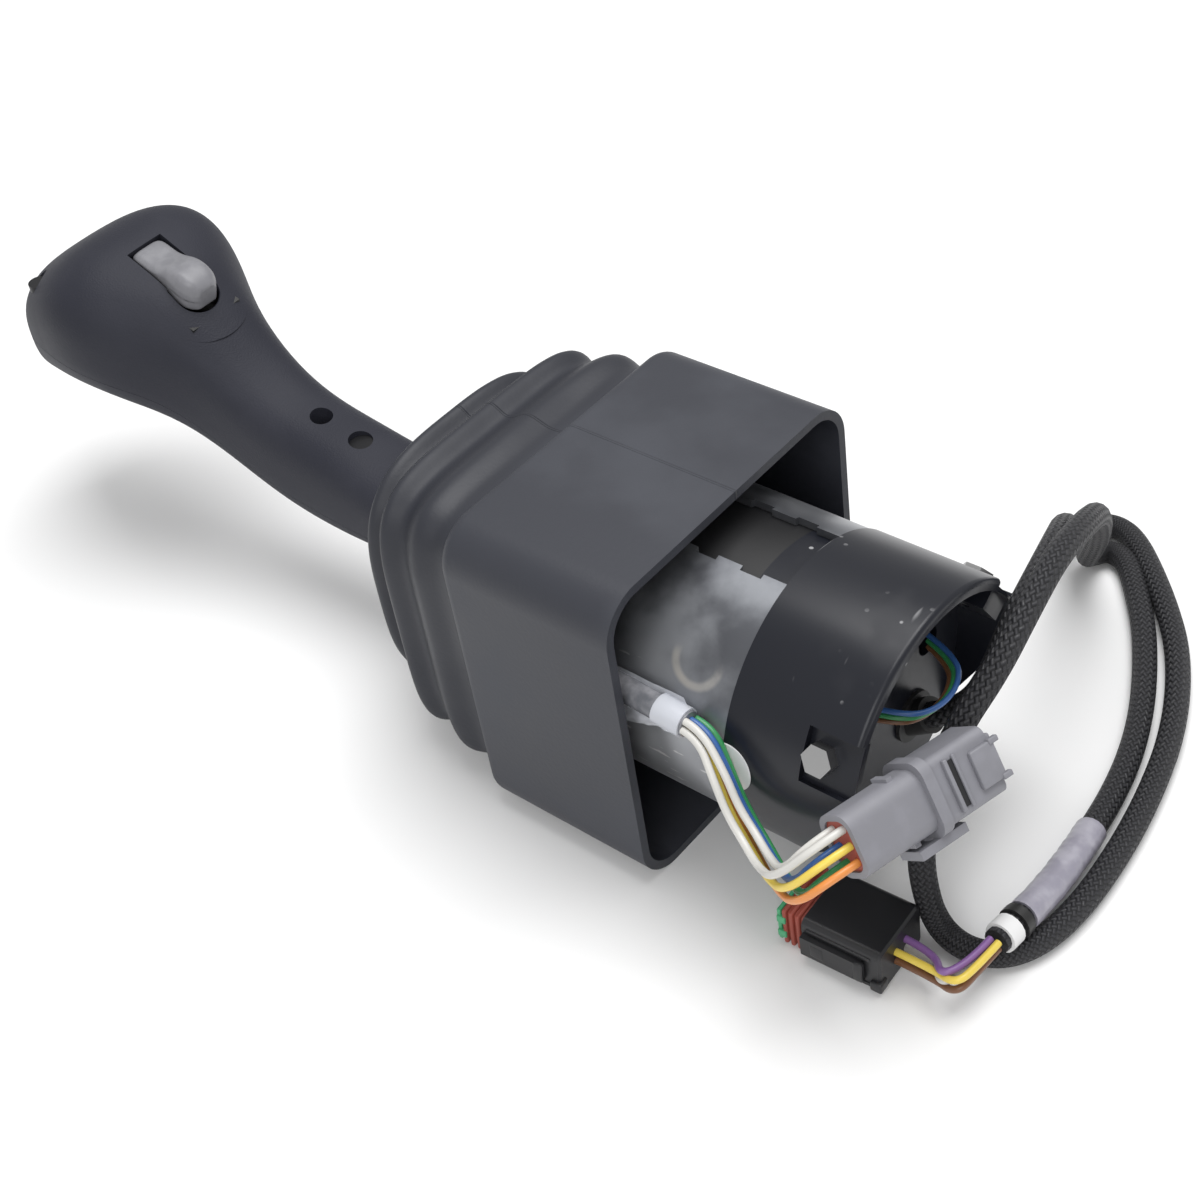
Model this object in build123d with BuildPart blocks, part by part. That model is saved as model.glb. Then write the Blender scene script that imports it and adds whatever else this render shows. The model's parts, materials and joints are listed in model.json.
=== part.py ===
"""Industrial joystick: grip, rubber boot, gimbal in a tube housing, leads and connectors.

The stick is modelled upright, with z up its axis, x towards the rocker and the rim of the boot at z = 0.
Each piece is then laid down as the joystick lies on a bench: x along its axis, z up, boot on the floor.
The leads and connectors are modelled where they lie, from the same rim centre.
"""

from collections import namedtuple
from math import cos, pi, sin, tan, radians
import os

from build123d import *

os.makedirs("parts", exist_ok=True)

# Running and seating clearances
running_fit = 0.05
seat_gap = 0.1
loose_gap = 0.3

# Rubber boot: square skirt below, three folds above
skirt_width = 94.0
skirt_height = 53.0
skirt_wall = 2.5
skirt_corner = 12.0
shoulder_round = 3.5
fold_wall = 2.0
low_groove_height = 58.5
low_crest_height = 65.5
low_crest_width = 89.0
mid_groove_height = 73.0
mid_groove_width = 82.0
mid_crest_height = 79.5
mid_crest_width = 86.0
high_groove_height = 86.0
high_groove_width = 70.0
high_crest_height = 92.5
high_crest_width = 74.0
collar_foot_height = 101.0
collar_foot_width = 44.0
collar_height = 109.0
seam_width = 1.2

# Mounting flange in the boot's shoulder
flange_thickness = 5.0
flange_hole = 6.6
flange_hole_spacing = 67.0
flange_opening = 46.0
flange_screw = 4.0
flange_screw_head = 8.0

# Tube housing with its slot, and the liner behind the slot
tube_radius = 38.0
tube_wall = 2.0
tube_bottom = -22.5
slot_half_angle = 16.0
slot_turn = 3.0
slot_top = 25.0
notch_depth = 1.3
notch_length = 6.0
notch_pitch = 13.0
liner_wall = 2.5
liner_top = 14.0
spigot_height = 8.5

# End cap: a cup, with its lower half cut away for the leads
cap_proud = 0.4
cap_wall = 3.0
cap_end = -57.0
cap_floor_top = -36.0
cap_floor = 3.5
cap_rim_round = 1.4
cutaway_edge = 3.0
cutaway_depth = 26.0
pocket_width = 14.0
pocket_reach = 4.0
pocket_floor = 36.0
pocket_boss_length = 11.0
pocket_boss_width = 10.0
pocket_boss_depth = 6.0
pocket_angle = 64.5
cap_screw_height = -47.5
cap_screw_size = 7.0
cap_screw_head = 3.2
cap_screw_shank = 4.0
spigot_wall = 4.0
cable_exit_front = -16.0
cable_exit_side = 14.0
gland_radius = 7.0
gland_length = 5.5
gland_proud = 1.0
gland_tilt = 35.0
gland_nose = 6.0
gland_nose_radius = 4.6
nose_run = 11.5
lead_hole = 5.0
lead_front = 16.0
lead_side = -38.9
wire_hole_radius = 4.0
peep_hole = 3.0
peep_front = 6.0
peep_side = 24.0

# Two-axis gimbal
pivot_height = 30.0
yoke_inner_radius = 28.0
yoke_bottom = 14.0
ring_outer_radius = 22.0
ring_inner_radius = 16.5
ring_height = 11.0
trunnion_radius = 3.5
trunnion_bush_wall = 1.6
hub_radius = 10.5
hub_height = 16.0
hub_pin_radius = 3.0
hub_bush_wall = 1.4
spring_wire = 1.0
spring_turns = 3
spring_pitch = 1.25
spring_clearance = 0.9
bush_outer_end = 35.0
ring_flat = 21.5
hub_pin_seat = 4.5
flange_screw_length = 9.0
standoff_radius = 3.2
board_screw = 2.5

# Lever shaft, magnet and sensor board
shaft_radius = 7.0
shaft_bore = 3.2
shaft_top = 150.0
stub_radius = 4.0
magnet_holder_radius = 5.5
magnet_radius = 4.0
magnet_thickness = 3.0
magnet_air_gap = 4.5
board_thickness = 1.6
board_radius = 30.0
standoff_height = 4.0
carrier_thickness = 3.0
board_screw_radius = 26.0
boot_ring_radius = 10.8
boot_ring_thickness = 5.0

# Grip: one section for each change of its form, at its height on the stick
Section = namedtuple("Section", "height forward half_width half_depth")
neck = Section(106.0, 0.0, 15.0, 11.5)
waist = Section(125.0, -4.0, 14.5, 14.3)
palm = Section(145.0, -2.3, 14.2, 16.5)
throat = Section(165.0, 3.0, 14.3, 18.2)
brow = Section(185.0, 16.5, 17.0, 22.4)
head = Section(205.0, 28.6, 27.0, 22.8)
crown = Section(222.0, 31.3, 30.3, 23.2)
shoulder = Section(238.0, 26.3, 26.8, 20.7)
top = Section(251.0, 19.8, 21.8, 18.3)
end = Section(260.0, 13.0, 15.5, 14.6)
tip = Section(266.5, 9.5, 7.0, 7.0)
grip_sections = (neck, waist, palm, throat, brow, head, crown, shoulder, top, end, tip)
grip_squareness = 2.7
grip_wall = 3.0
grip_hollow_from = 156.0
parting_gap = 0.15
parting = ((100.0, -6.0), (125.0, -9.5), (150.0, -8.0), (169.0, -3.5), (185.0, 7.0),
           (197.0, 16.5), (210.0, 22.0), (226.0, 24.5), (247.0, 21.5), (275.0, 12.0))

# Grip screws and the plain hole above the neck screw
neck_screw_height = 132.5
neck_screw_head = 6.8
neck_screw_shank = 4.0
neck_hole_height = 147.5
neck_hole = 6.6
neck_hole_depth = 9.0
end_screw_height = 240.0
end_screw_side = -19.0
end_screw_head = 6.4
end_screw_shank = 3.2
end_boss_radius = 4.6
screw_recess = 3.0
neck_front = 12.0
screw_seat_back = 3.4
end_screw_front = 42.5
end_screw_length = 26.0

# Rocker and its switch
rocker_height = 197.0
rocker_forward = 48.8
rocker_tilt = 19.2
rocker_width = 11.0
rocker_flat_end = 12.0
rocker_bump_end = 13.5
rocker_skin = 5.0
bump_radius = 6.6
bump_rise = 3.4
bump_round = 2.6
rocker_side_gap = 0.8
rocker_end_gap = 1.4
rocker_pin_radius = 1.5
rocker_pin_depth = 7.0
rocker_stem = 8.0
switch_wall = 1.6
switch_depth = 17.0
switch_top = 3.6
scoop_radius = 11.0
scoop_depth = 3.2
scoop_offset = 17.5

# Leads: outer diameters
cable_diameter = 6.6
wire_diameter = 1.9
clear_sleeve_diameter = 6.6
plug_wire_diameter = 1.9
cap_wire_diameter = 1.4
shrink_diameter = 8.0
shrink_tube_diameter = 8.6
label_diameter = 8.2

# Grey connector pair, along its own axis from the seal to the latch end
grey_seal_place = (64.0, -49.0, 12.0)
grey_axis = (0.206, 0.975, -0.089)
grey_broad = (0.6, 0.0, -0.8)
grey_width = 15.4
grey_height = 11.4
receptacle_length = 24.0
receptacle_wall = 1.5
seal_depth = 3.0
collar_length = 3.0
collar_swell = 3.0
plug_length = 17.0
plug_width = 16.2
plug_height = 12.6
latch_length = 12.0
latch_width = 9.0
latch_height = 3.0
wire_pitch_wide = 4.0
wire_pitch_high = 3.8
clip_width = 8.0
clip_length = 14.0
clip_thickness = 2.2
clip_hole = 4.0

# Black plug on the bench, along its own axis from the open end to the wires
black_plug_place = (37.0, -34.0)
black_plug_turn = 3.0
black_plug_length = 29.0
black_plug_width = 19.0
black_plug_height = 14.0
black_plug_round = 2.0
black_wall = 1.8
black_cavity_depth = 11.0
black_seal_length = 6.0
wedge_length = 12.0

# Sizes that follow from the ones above
skirt_half = skirt_width / 2
skirt_inner = skirt_width - 2 * skirt_wall
fold_seat_width = skirt_width - 2 * shoulder_round
web_underside = skirt_height - skirt_wall
flange_top = web_underside - loose_gap
flange_underside = flange_top - flange_thickness
flange_width = skirt_inner - 2 * loose_gap
flange_corner = skirt_corner - skirt_wall
tube_inner_radius = tube_radius - tube_wall
liner_radius = tube_inner_radius - seat_gap
cap_radius = tube_radius + cap_proud
cap_inner_radius = cap_radius - cap_wall
spigot_top = tube_bottom + spigot_height
ring_top = pivot_height + ring_height / 2
carrier_top = spigot_top + carrier_thickness
board_underside = carrier_top + standoff_height
board_top = board_underside + board_thickness
magnet_tip = board_top + magnet_air_gap
lay_shift = (tip.height + cap_end) / 2
lay_lift = skirt_half

lay_down = Location((lay_shift, 0, lay_lift), (0, -90, 0))
lay_flat = Location((lay_shift, 0, lay_lift))


def save(part, label, place=lay_down):
    """Lays a finished piece in its place, names it and writes it."""
    piece = part.moved(place)
    piece.label = label
    export_step(piece, f"parts/{label}.step")
    return piece


def squircle(half_x, half_y, squareness, forward=0.0, count=24):
    """Points of a rounded form between an ellipse and a rectangle."""
    points = []
    for index in range(count):
        angle = 2 * pi * index / count
        run_x = abs(cos(angle)) ** (2 / squareness) * (1 if cos(angle) >= 0 else -1)
        run_y = abs(sin(angle)) ** (2 / squareness) * (1 if sin(angle) >= 0 else -1)
        points.append((forward + half_x * run_x, half_y * run_y))
    return points


def loft_rings(rings):
    """A smooth solid through rings of (height, half x, half y, squareness, forward)."""
    with BuildPart() as form:
        for height, half_x, half_y, squareness, forward in rings:
            with BuildSketch(Plane.XY.offset(height)):
                with BuildLine():
                    Spline(*squircle(half_x, half_y, squareness, forward), periodic=True)
                make_face()
        loft()
    return form.part


# Boot skirt: open below, with a web at the shoulder that the folds grow from
with BuildPart() as boot_skirt:
    with BuildSketch():
        RectangleRounded(skirt_width, skirt_width, skirt_corner)
    extrude(amount=skirt_height)
    fillet(boot_skirt.faces().sort_by(Axis.Z)[-1].edges(), shoulder_round)
    with BuildSketch():
        RectangleRounded(skirt_inner, skirt_inner, skirt_corner - skirt_wall)
    extrude(amount=web_underside, mode=Mode.SUBTRACT)
    with BuildSketch(Plane.XY.offset(web_underside)):
        web_hole = fold_seat_width - 2 * fold_wall - 2 * shoulder_round
        RectangleRounded(web_hole, web_hole, skirt_corner)
    extrude(amount=skirt_wall, mode=Mode.SUBTRACT)
save(boot_skirt.part, "boot_skirt")


def fold_rings(inset):
    """Rings of the folds, from the shoulder to the collar, drawn in by the wall."""
    squares = (
        (skirt_height, fold_seat_width, 7.0),
        (low_groove_height, fold_seat_width - 1.0, 7.0),
        (low_crest_height, low_crest_width, 6.0),
        (mid_groove_height, mid_groove_width, 5.5),
        (mid_crest_height, mid_crest_width, 4.8),
        (high_groove_height, high_groove_width, 4.0),
        (high_crest_height, high_crest_width, 3.2),
        (collar_foot_height, collar_foot_width, 2.4),
    )
    rings = [(height, width / 2 - inset, width / 2 - inset, square, 0.0)
             for height, width, square in squares]
    collar = (neck.half_depth + loose_gap + fold_wall - inset,
              neck.half_width + loose_gap + fold_wall - inset)
    for height in (neck.height, collar_height):
        rings.append((height, *collar, grip_squareness, 0.0))
    return rings


# Boot bellows: three soft folds and the collar round the grip's neck
bellows_outside = loft_rings(fold_rings(0.0))
inside_rings = fold_rings(fold_wall)
inside_rings[0] = (skirt_height - fold_wall, *inside_rings[0][1:])
inside_rings[-1] = (collar_height + fold_wall, *inside_rings[-1][1:])
bellows_inside = loft_rings(inside_rings)
with BuildPart() as boot_bellows:
    add(bellows_outside)
    add(bellows_inside, mode=Mode.SUBTRACT)
save(boot_bellows.part, "boot_bellows")

# Mounting flange: square plate under the boot's web, on top of the tube
with BuildPart() as mounting_flange:
    with BuildSketch(Plane.XY.offset(flange_underside)):
        RectangleRounded(flange_width, flange_width, flange_corner)
        Circle(flange_opening / 2, mode=Mode.SUBTRACT)
        with GridLocations(flange_hole_spacing, flange_hole_spacing, 2, 2):
            Circle(flange_hole / 2, mode=Mode.SUBTRACT)
        with Locations((lead_front, lead_side)):
            Circle(lead_hole / 2, mode=Mode.SUBTRACT)
    extrude(amount=flange_thickness)
    screw_circle = (yoke_inner_radius + liner_radius) / 2
    with Locations(Plane.XY.offset(flange_top)):
        with PolarLocations(screw_circle, 4, start_angle=45):
            CounterSinkHole(flange_screw / 2 + seat_gap, flange_screw_head / 2, flange_thickness)
save(mounting_flange.part, "mounting_flange")

# Housing tube: bare metal, slotted towards the front, with notched slot edges
with BuildPart() as housing_tube:
    tube_length = flange_underside - tube_bottom
    with BuildSketch(Plane.XY.offset(tube_bottom)):
        Circle(tube_radius)
        Circle(tube_inner_radius, mode=Mode.SUBTRACT)
    extrude(amount=tube_length)
    slot_length = slot_top - tube_bottom
    slot_width = 2 * tube_radius * sin(radians(slot_half_angle))
    slot_axis = Rotation(0, 0, slot_turn)
    with Locations(slot_axis * Pos(tube_radius, 0, tube_bottom + slot_length / 2)):
        Box(4 * tube_wall, slot_width, slot_length, mode=Mode.SUBTRACT)
    notch_count = int(slot_length / notch_pitch)
    for number in range(notch_count):
        notch_middle = tube_bottom + notch_pitch * (number + 0.75)
        with Locations(slot_axis * Pos(tube_radius, 0, notch_middle)):
            Box(4 * tube_wall, slot_width + 2 * notch_depth, notch_length, mode=Mode.SUBTRACT)
save(housing_tube.part, "housing_tube")

# Inner liner: black sleeve that shows through the slot
with BuildPart() as inner_liner:
    with BuildSketch(Plane.XY.offset(spigot_top)):
        Circle(liner_radius)
        Circle(liner_radius - liner_wall, mode=Mode.SUBTRACT)
    extrude(amount=liner_top - spigot_top)
save(inner_liner.part, "inner_liner")

# Places of the cap's screw pockets, on the radius towards each
pocket_planes = []
for bearing in (-pocket_angle, 120 - pocket_angle):
    outward = Vector(cos(radians(bearing)), sin(radians(bearing)), 0)
    pocket_planes.append(Plane(origin=outward * pocket_floor + Vector(0, 0, cap_screw_height),
                               x_dir=(0, 0, 1), z_dir=outward))

# Way out of the cap's floor for the cable, and two small openings beside it
cable_exit = Location((cable_exit_front, cable_exit_side, 0))
wire_exits = [Location((3.0, 22.0, 0)), Location((3.0, -6.0, 0))]

# End cap: spigot inside the tube, a cup below it, the lower half of its wall cut away
with BuildPart() as end_cap:
    with BuildSketch(Plane.XY.offset(cap_end)):
        Circle(cap_radius)
    extrude(amount=tube_bottom - cap_end)
    fillet(end_cap.edges().group_by(Axis.Z)[0], cap_rim_round)
    with BuildSketch(Plane.XY.offset(cap_end)):
        Circle(cap_inner_radius)
    extrude(amount=cap_floor_top - cap_floor - cap_end, mode=Mode.SUBTRACT)
    with BuildSketch(Plane.XY.offset(cap_floor_top)):
        Circle(cap_inner_radius)
    extrude(amount=tube_bottom - cap_floor_top, mode=Mode.SUBTRACT)
    with BuildSketch(Plane.XY.offset(tube_bottom)):
        Circle(liner_radius)
        Circle(liner_radius - spigot_wall, mode=Mode.SUBTRACT)
    extrude(amount=spigot_height)
    with BuildSketch(Plane.XY.offset(tube_bottom - cap_wall)):
        Circle(cap_inner_radius)
        Circle(liner_radius - spigot_wall, mode=Mode.SUBTRACT)
    extrude(amount=cap_wall)
    cup_floor = cap_floor_top - cap_floor
    with BuildSketch(Plane.XZ):
        with BuildLine():
            Polyline((cutaway_edge, cap_end - cap_wall), (cutaway_edge, cap_end),
                     (cutaway_edge - cutaway_depth, cup_floor),
                     (-cap_radius - cap_wall, cup_floor),
                     (-cap_radius - cap_wall, cap_end - cap_wall), close=True)
        make_face()
    extrude(amount=cap_radius + cap_wall, both=True, mode=Mode.SUBTRACT)
    pocket_height = cap_screw_height + pocket_reach - cap_end + cap_wall
    pocket_middle = pocket_reach - pocket_height / 2
    for plane in pocket_planes:
        with Locations(plane * Pos(-pocket_reach / 2, 0, -pocket_boss_depth / 2)):
            Box(pocket_boss_length, pocket_boss_width, pocket_boss_depth)
        with BuildSketch(plane):
            with Locations((pocket_middle, 0)):
                Rectangle(pocket_height, pocket_width)
        extrude(amount=cap_wall + cap_proud, mode=Mode.SUBTRACT)
        with Locations(plane):
            Hole(cap_screw_shank / 2, depth=pocket_boss_depth)
    with BuildSketch(Plane.XY.offset(cup_floor)):
        with Locations(cable_exit):
            Circle(gland_radius)
        with Locations(*wire_exits):
            Circle(wire_hole_radius)
        with Locations((peep_front, peep_side)):
            Circle(peep_hole / 2)
    extrude(amount=cap_floor, mode=Mode.SUBTRACT)
save(end_cap.part, "end_cap")

# Hex screws in the cap's pockets
with BuildPart() as cap_screws:
    for plane in pocket_planes:
        with BuildSketch(plane):
            RegularPolygon(cap_screw_size / 2, 6, major_radius=False)
        extrude(amount=cap_screw_head)
        with BuildSketch(plane):
            Circle(cap_screw_shank / 2)
        extrude(amount=-pocket_boss_depth + loose_gap)
save(cap_screws.part, "cap_screws")

# Cable gland in the cap's floor, with a nose turned the way the cable leaves
nose_plane = Plane(origin=(cable_exit_front, cable_exit_side, cup_floor - gland_proud),
                   z_dir=(sin(radians(gland_tilt)), 0, -cos(radians(gland_tilt))))
with BuildPart() as cable_gland:
    with BuildSketch(Plane.XY.offset(cup_floor - gland_proud)):
        with Locations(cable_exit):
            Circle(gland_radius)
    extrude(amount=gland_length)
    with BuildSketch(nose_plane):
        Circle(gland_nose_radius)
    extrude(amount=gland_nose)
    with BuildSketch(nose_plane):
        Circle(gland_nose_radius)
    extrude(amount=-gland_proud - 1.0)
save(cable_gland.part, "cable_gland")

# Gimbal yoke: ring inside the top of the tube, bored across for the outer pins
with BuildPart() as gimbal_yoke:
    with BuildSketch(Plane.XY.offset(yoke_bottom)):
        Circle(liner_radius)
        Circle(yoke_inner_radius, mode=Mode.SUBTRACT)
    extrude(amount=flange_underside - yoke_bottom)
    with Locations(Plane.XY.offset(flange_underside)):
        with PolarLocations(screw_circle, 4, start_angle=45):
            Hole(flange_screw / 2, depth=flange_screw_length)
    with Locations((0, 0, pivot_height)):
        Cylinder(trunnion_radius + trunnion_bush_wall, 2 * liner_radius, rotation=(90, 0, 0),
                 mode=Mode.SUBTRACT)
save(gimbal_yoke.part, "gimbal_yoke")

# Countersunk screws that hold the flange on the yoke
with BuildPart() as flange_screws:
    sink_depth = (flange_screw_head - flange_screw) / 2 - seat_gap
    for corner in range(4):
        spot = PolarLocations(screw_circle, 4, start_angle=45).locations[corner]
        with BuildSketch(Plane.XY.offset(flange_top)):
            with Locations(spot):
                Circle(flange_screw_head / 2 - seat_gap)
        with BuildSketch(Plane.XY.offset(flange_top - sink_depth)):
            with Locations(spot):
                Circle(flange_screw / 2)
        loft()
        with BuildSketch(Plane.XY.offset(flange_top - sink_depth)):
            with Locations(spot):
                Circle(flange_screw / 2)
        extrude(amount=-(flange_thickness + flange_screw_length - 1.0 - sink_depth))
    with Locations(Plane.XY.offset(flange_top)):
        with PolarLocations(screw_circle, 4, start_angle=45):
            with BuildSketch():
                RegularPolygon(1.25, 6, major_radius=False)
    extrude(amount=-sink_depth, mode=Mode.SUBTRACT)
save(flange_screws.part, "flange_screws")


def across(radius, inner, start, stop, turn):
    """Two coaxial round pieces, one on each side of the pivot, along y or along x."""
    with BuildPart() as pair:
        for side in (-1, 1):
            middle = side * (start + stop) / 2
            place = Rotation(0, 0, turn) * Pos(0, middle, pivot_height) * Rotation(90, 0, 0)
            with Locations(place):
                Cylinder(radius, stop - start)
                if inner:
                    Cylinder(inner, stop - start, mode=Mode.SUBTRACT)
    return pair.part


def coil(inner_radius, start, turn):
    """A torsion spring round a pin: close turns and two straight legs."""
    mean = inner_radius + spring_wire / 2
    with BuildPart() as spring:
        with BuildLine():
            wind = Helix(spring_pitch, spring_pitch * spring_turns, mean)
        with BuildSketch(Plane(origin=wind @ 0, z_dir=wind % 0)):
            Circle(spring_wire / 2)
        sweep()
    place = Rotation(0, 0, turn) * Pos(0, start, pivot_height) * Rotation(-90, 0, 0)
    return spring.part.moved(place)


# Bushes and pins of the two crossed axes, with a return spring round each
save(across(trunnion_radius + trunnion_bush_wall, trunnion_radius + running_fit,
            yoke_inner_radius, bush_outer_end, 0), "yoke_bushes")
save(across(trunnion_radius, 0, ring_inner_radius, bush_outer_end - loose_gap, 0), "gimbal_pins")
save(across(hub_pin_radius + hub_bush_wall, hub_pin_radius + running_fit,
            ring_inner_radius, ring_flat, 90), "ring_bushes")
save(across(hub_pin_radius, 0, hub_pin_seat, ring_flat - loose_gap, 90), "lever_pins")
save(coil(trunnion_radius + spring_clearance, ring_outer_radius + spring_wire, 0), "pitch_spring")
save(coil(hub_pin_radius + spring_clearance, hub_radius + spring_wire, 90), "roll_spring")

# Gimbal ring: carries the outer pins along y and is bored along x for the lever
with BuildPart() as gimbal_ring:
    with Locations((0, 0, pivot_height)):
        Cylinder(ring_outer_radius, ring_height)
        Cylinder(ring_inner_radius, ring_height, mode=Mode.SUBTRACT)
        Cylinder(trunnion_radius, 4 * ring_outer_radius, rotation=(90, 0, 0), mode=Mode.SUBTRACT)
        Cylinder(hub_pin_radius + hub_bush_wall, 4 * ring_outer_radius, rotation=(0, 90, 0),
                 mode=Mode.SUBTRACT)
        Box(2 * ring_flat, 2 * ring_flat, 2 * ring_height, mode=Mode.INTERSECT)
save(gimbal_ring.part, "gimbal_ring")

# Lever shaft: hub on the pivot, hollow stem up into the grip, stub down to the magnet
with BuildPart() as lever_shaft:
    with Locations((0, 0, pivot_height)):
        Cylinder(hub_radius, hub_height)
    fillet(lever_shaft.edges().group_by(Axis.Z)[-1], 1.0)
    with BuildSketch(Plane.XY.offset(pivot_height)):
        Circle(shaft_radius)
    extrude(amount=shaft_top - pivot_height)
    chamfer(lever_shaft.edges().group_by(Axis.Z)[-1], 0.8)
    with BuildSketch(Plane.XY.offset(magnet_tip + magnet_thickness)):
        Circle(stub_radius)
    extrude(amount=pivot_height - magnet_tip - magnet_thickness)
    wire_port_height = pivot_height + hub_height / 2 + shaft_radius
    with BuildSketch(Plane.XY.offset(wire_port_height - shaft_bore)):
        Circle(shaft_bore)
    extrude(amount=shaft_top - wire_port_height + shaft_bore, mode=Mode.SUBTRACT)
    with Locations((0, -shaft_radius / 2, wire_port_height)):
        Cylinder(shaft_bore - loose_gap, shaft_radius * 1.5, rotation=(90, 0, 0),
                 mode=Mode.SUBTRACT)
    pin_hole_middle = hub_pin_seat + hub_radius
    with Locations((-pin_hole_middle, 0, pivot_height), (pin_hole_middle, 0, pivot_height)):
        Cylinder(hub_pin_radius, 2 * hub_radius, rotation=(0, 90, 0), mode=Mode.SUBTRACT)
    with Locations((shaft_radius, 0, neck_screw_height)):
        Cylinder(neck_screw_shank / 2, 2 * shaft_radius - shaft_bore, rotation=(0, 90, 0),
                 mode=Mode.SUBTRACT)
save(lever_shaft.part, "lever_shaft")

# Magnet and its holder on the stub, facing the sensor
with BuildPart() as magnet_holder:
    with BuildSketch(Plane.XY.offset(magnet_tip)):
        Circle(magnet_holder_radius)
        Circle(stub_radius, mode=Mode.SUBTRACT)
    extrude(amount=3 * magnet_thickness)
    chamfer(magnet_holder.edges().group_by(Axis.Z)[-1].sort_by(SortBy.RADIUS)[-1], 0.6)
save(magnet_holder.part, "magnet_holder")

with BuildPart() as magnet:
    with BuildSketch(Plane.XY.offset(magnet_tip)):
        Circle(magnet_radius)
    extrude(amount=magnet_thickness)
save(magnet.part, "magnet")

# Board carrier on the cap's spigot, with four standoffs
board_spots = PolarLocations(board_screw_radius, 4, start_angle=0)
with BuildPart() as board_carrier:
    with BuildSketch(Plane.XY.offset(spigot_top)):
        Circle(liner_radius - liner_wall - seat_gap)
        with Locations(cable_exit):
            Circle(gland_radius, mode=Mode.SUBTRACT)
    extrude(amount=carrier_thickness)
    with BuildSketch(Plane.XY.offset(carrier_top)):
        with PolarLocations(board_screw_radius, 4):
            Circle(standoff_radius)
    extrude(amount=standoff_height)
    with Locations(Plane.XY.offset(board_underside)):
        with PolarLocations(board_screw_radius, 4):
            Hole(board_screw / 2, depth=standoff_height)
save(board_carrier.part, "board_carrier")

# Sensor board, its components and its screws
with BuildPart() as sensor_board:
    with BuildSketch(Plane.XY.offset(board_underside)):
        Circle(board_radius)
        with PolarLocations(board_screw_radius, 4):
            Circle(board_screw / 2 + seat_gap, mode=Mode.SUBTRACT)
    extrude(amount=board_thickness)
save(sensor_board.part, "sensor_board")

with BuildPart() as board_parts:
    with BuildSketch(Plane.XY.offset(board_top)):
        Rectangle(5.0, 5.0)
        with Locations((9.0, 9.0), (-11.0, 7.0)):
            Rectangle(7.0, 5.0)
        with Locations((0.0, 19.0)):
            Rectangle(6.0, 3.0)
    extrude(amount=1.4)
    with BuildSketch(Plane.XY.offset(board_top)):
        with Locations((0.0, -20.0)):
            Rectangle(16.0, 6.0)
    extrude(amount=6.5)
    with BuildSketch(Plane.XY.offset(board_top)):
        with Locations((-15.0, -9.0), (15.0, -9.0)):
            Circle(3.2)
    extrude(amount=5.5)
save(board_parts.part, "board_parts")

with BuildPart() as board_screws:
    with BuildSketch(Plane.XY.offset(board_top)):
        with PolarLocations(board_screw_radius, 4):
            Circle(board_screw)
    extrude(amount=board_screw * 0.6)
    with BuildSketch(Plane.XY.offset(board_top)):
        with PolarLocations(board_screw_radius, 4):
            Circle(board_screw / 2)
    extrude(amount=-board_thickness - standoff_height + 0.5)
save(board_screws.part, "board_screws")

# Retaining ring on the shaft, under the grip, at the foot of the boot's collar
with BuildPart() as boot_ring:
    with BuildSketch(Plane.XY.offset(neck.height - boot_ring_thickness - loose_gap)):
        Circle(boot_ring_radius)
        Circle(shaft_radius, mode=Mode.SUBTRACT)
    extrude(amount=boot_ring_thickness)
    fillet(boot_ring.edges().group_by(Axis.Z)[-1].sort_by(SortBy.RADIUS)[-1], 1.0)
save(boot_ring.part, "boot_ring")


def grip_rings(sections, inset):
    """Rings of the grip's form, drawn in by the wall."""
    return [(s.height, s.half_depth - inset, s.half_width - inset, grip_squareness, s.forward)
            for s in sections]


# The grip's form, its hollow head, and the surface where its two shells part
grip_outside = loft_rings(grip_rings(grip_sections, 0.0))
hollow_foot = Section(grip_hollow_from, throat.forward - 2.0, throat.half_width - 2.0,
                      throat.half_depth - 4.0)
hollow_top = Section(end.height - grip_wall / 2, end.forward + 1.0, end.half_width - 2.0,
                     end.half_depth - 2.0)
hollow = (hollow_foot, throat, brow, head, crown, shoulder, top, hollow_top)
grip_inside = loft_rings(grip_rings(hollow, grip_wall))
with BuildPart() as front_space:
    with BuildSketch(Plane.XZ):
        with BuildLine():
            seam_line = Spline(*[(forward, height) for height, forward in parting])
            Polyline(seam_line @ 1, (3 * crown.forward, parting[-1][0]),
                     (3 * crown.forward, parting[0][0]), seam_line @ 0)
        make_face()
    extrude(amount=2 * crown.half_width, both=True)
with BuildPart() as rear_space:
    with BuildSketch(Plane.XZ):
        with BuildLine():
            rear_seam = Spline(*[(forward - parting_gap, height) for height, forward in parting])
            Polyline(rear_seam @ 1, (-2 * crown.forward, parting[-1][0]),
                     (-2 * crown.forward, parting[0][0]), rear_seam @ 0)
        make_face()
    extrude(amount=2 * crown.half_width, both=True)

# Rocker's plane on the front of the head: x down the grip, z straight out of the opening
tilt = radians(rocker_tilt)
rocker_plane = Plane(origin=(rocker_forward, 0, rocker_height), x_dir=(-sin(tilt), 0, -cos(tilt)),
                     z_dir=(cos(tilt), 0, -sin(tilt)))
opening_length = rocker_flat_end + rocker_bump_end + 2 * rocker_end_gap
opening_width = 2 * bump_radius + 2 * rocker_side_gap
opening_middle = (rocker_bump_end - rocker_flat_end) / 2
bump_middle = rocker_bump_end - bump_radius


def rocker_sketch(gap):
    """Outline of the rocker, or of its opening when a gap is given."""
    with BuildSketch(rocker_plane) as outline:
        with Locations((-rocker_flat_end / 2 + bump_middle / 2 - gap / 2, 0)):
            Rectangle(rocker_flat_end + bump_middle + gap, rocker_width + 2 * gap)
        with Locations((bump_middle, 0)):
            Circle(bump_radius + gap)
    return outline.sketch


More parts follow.
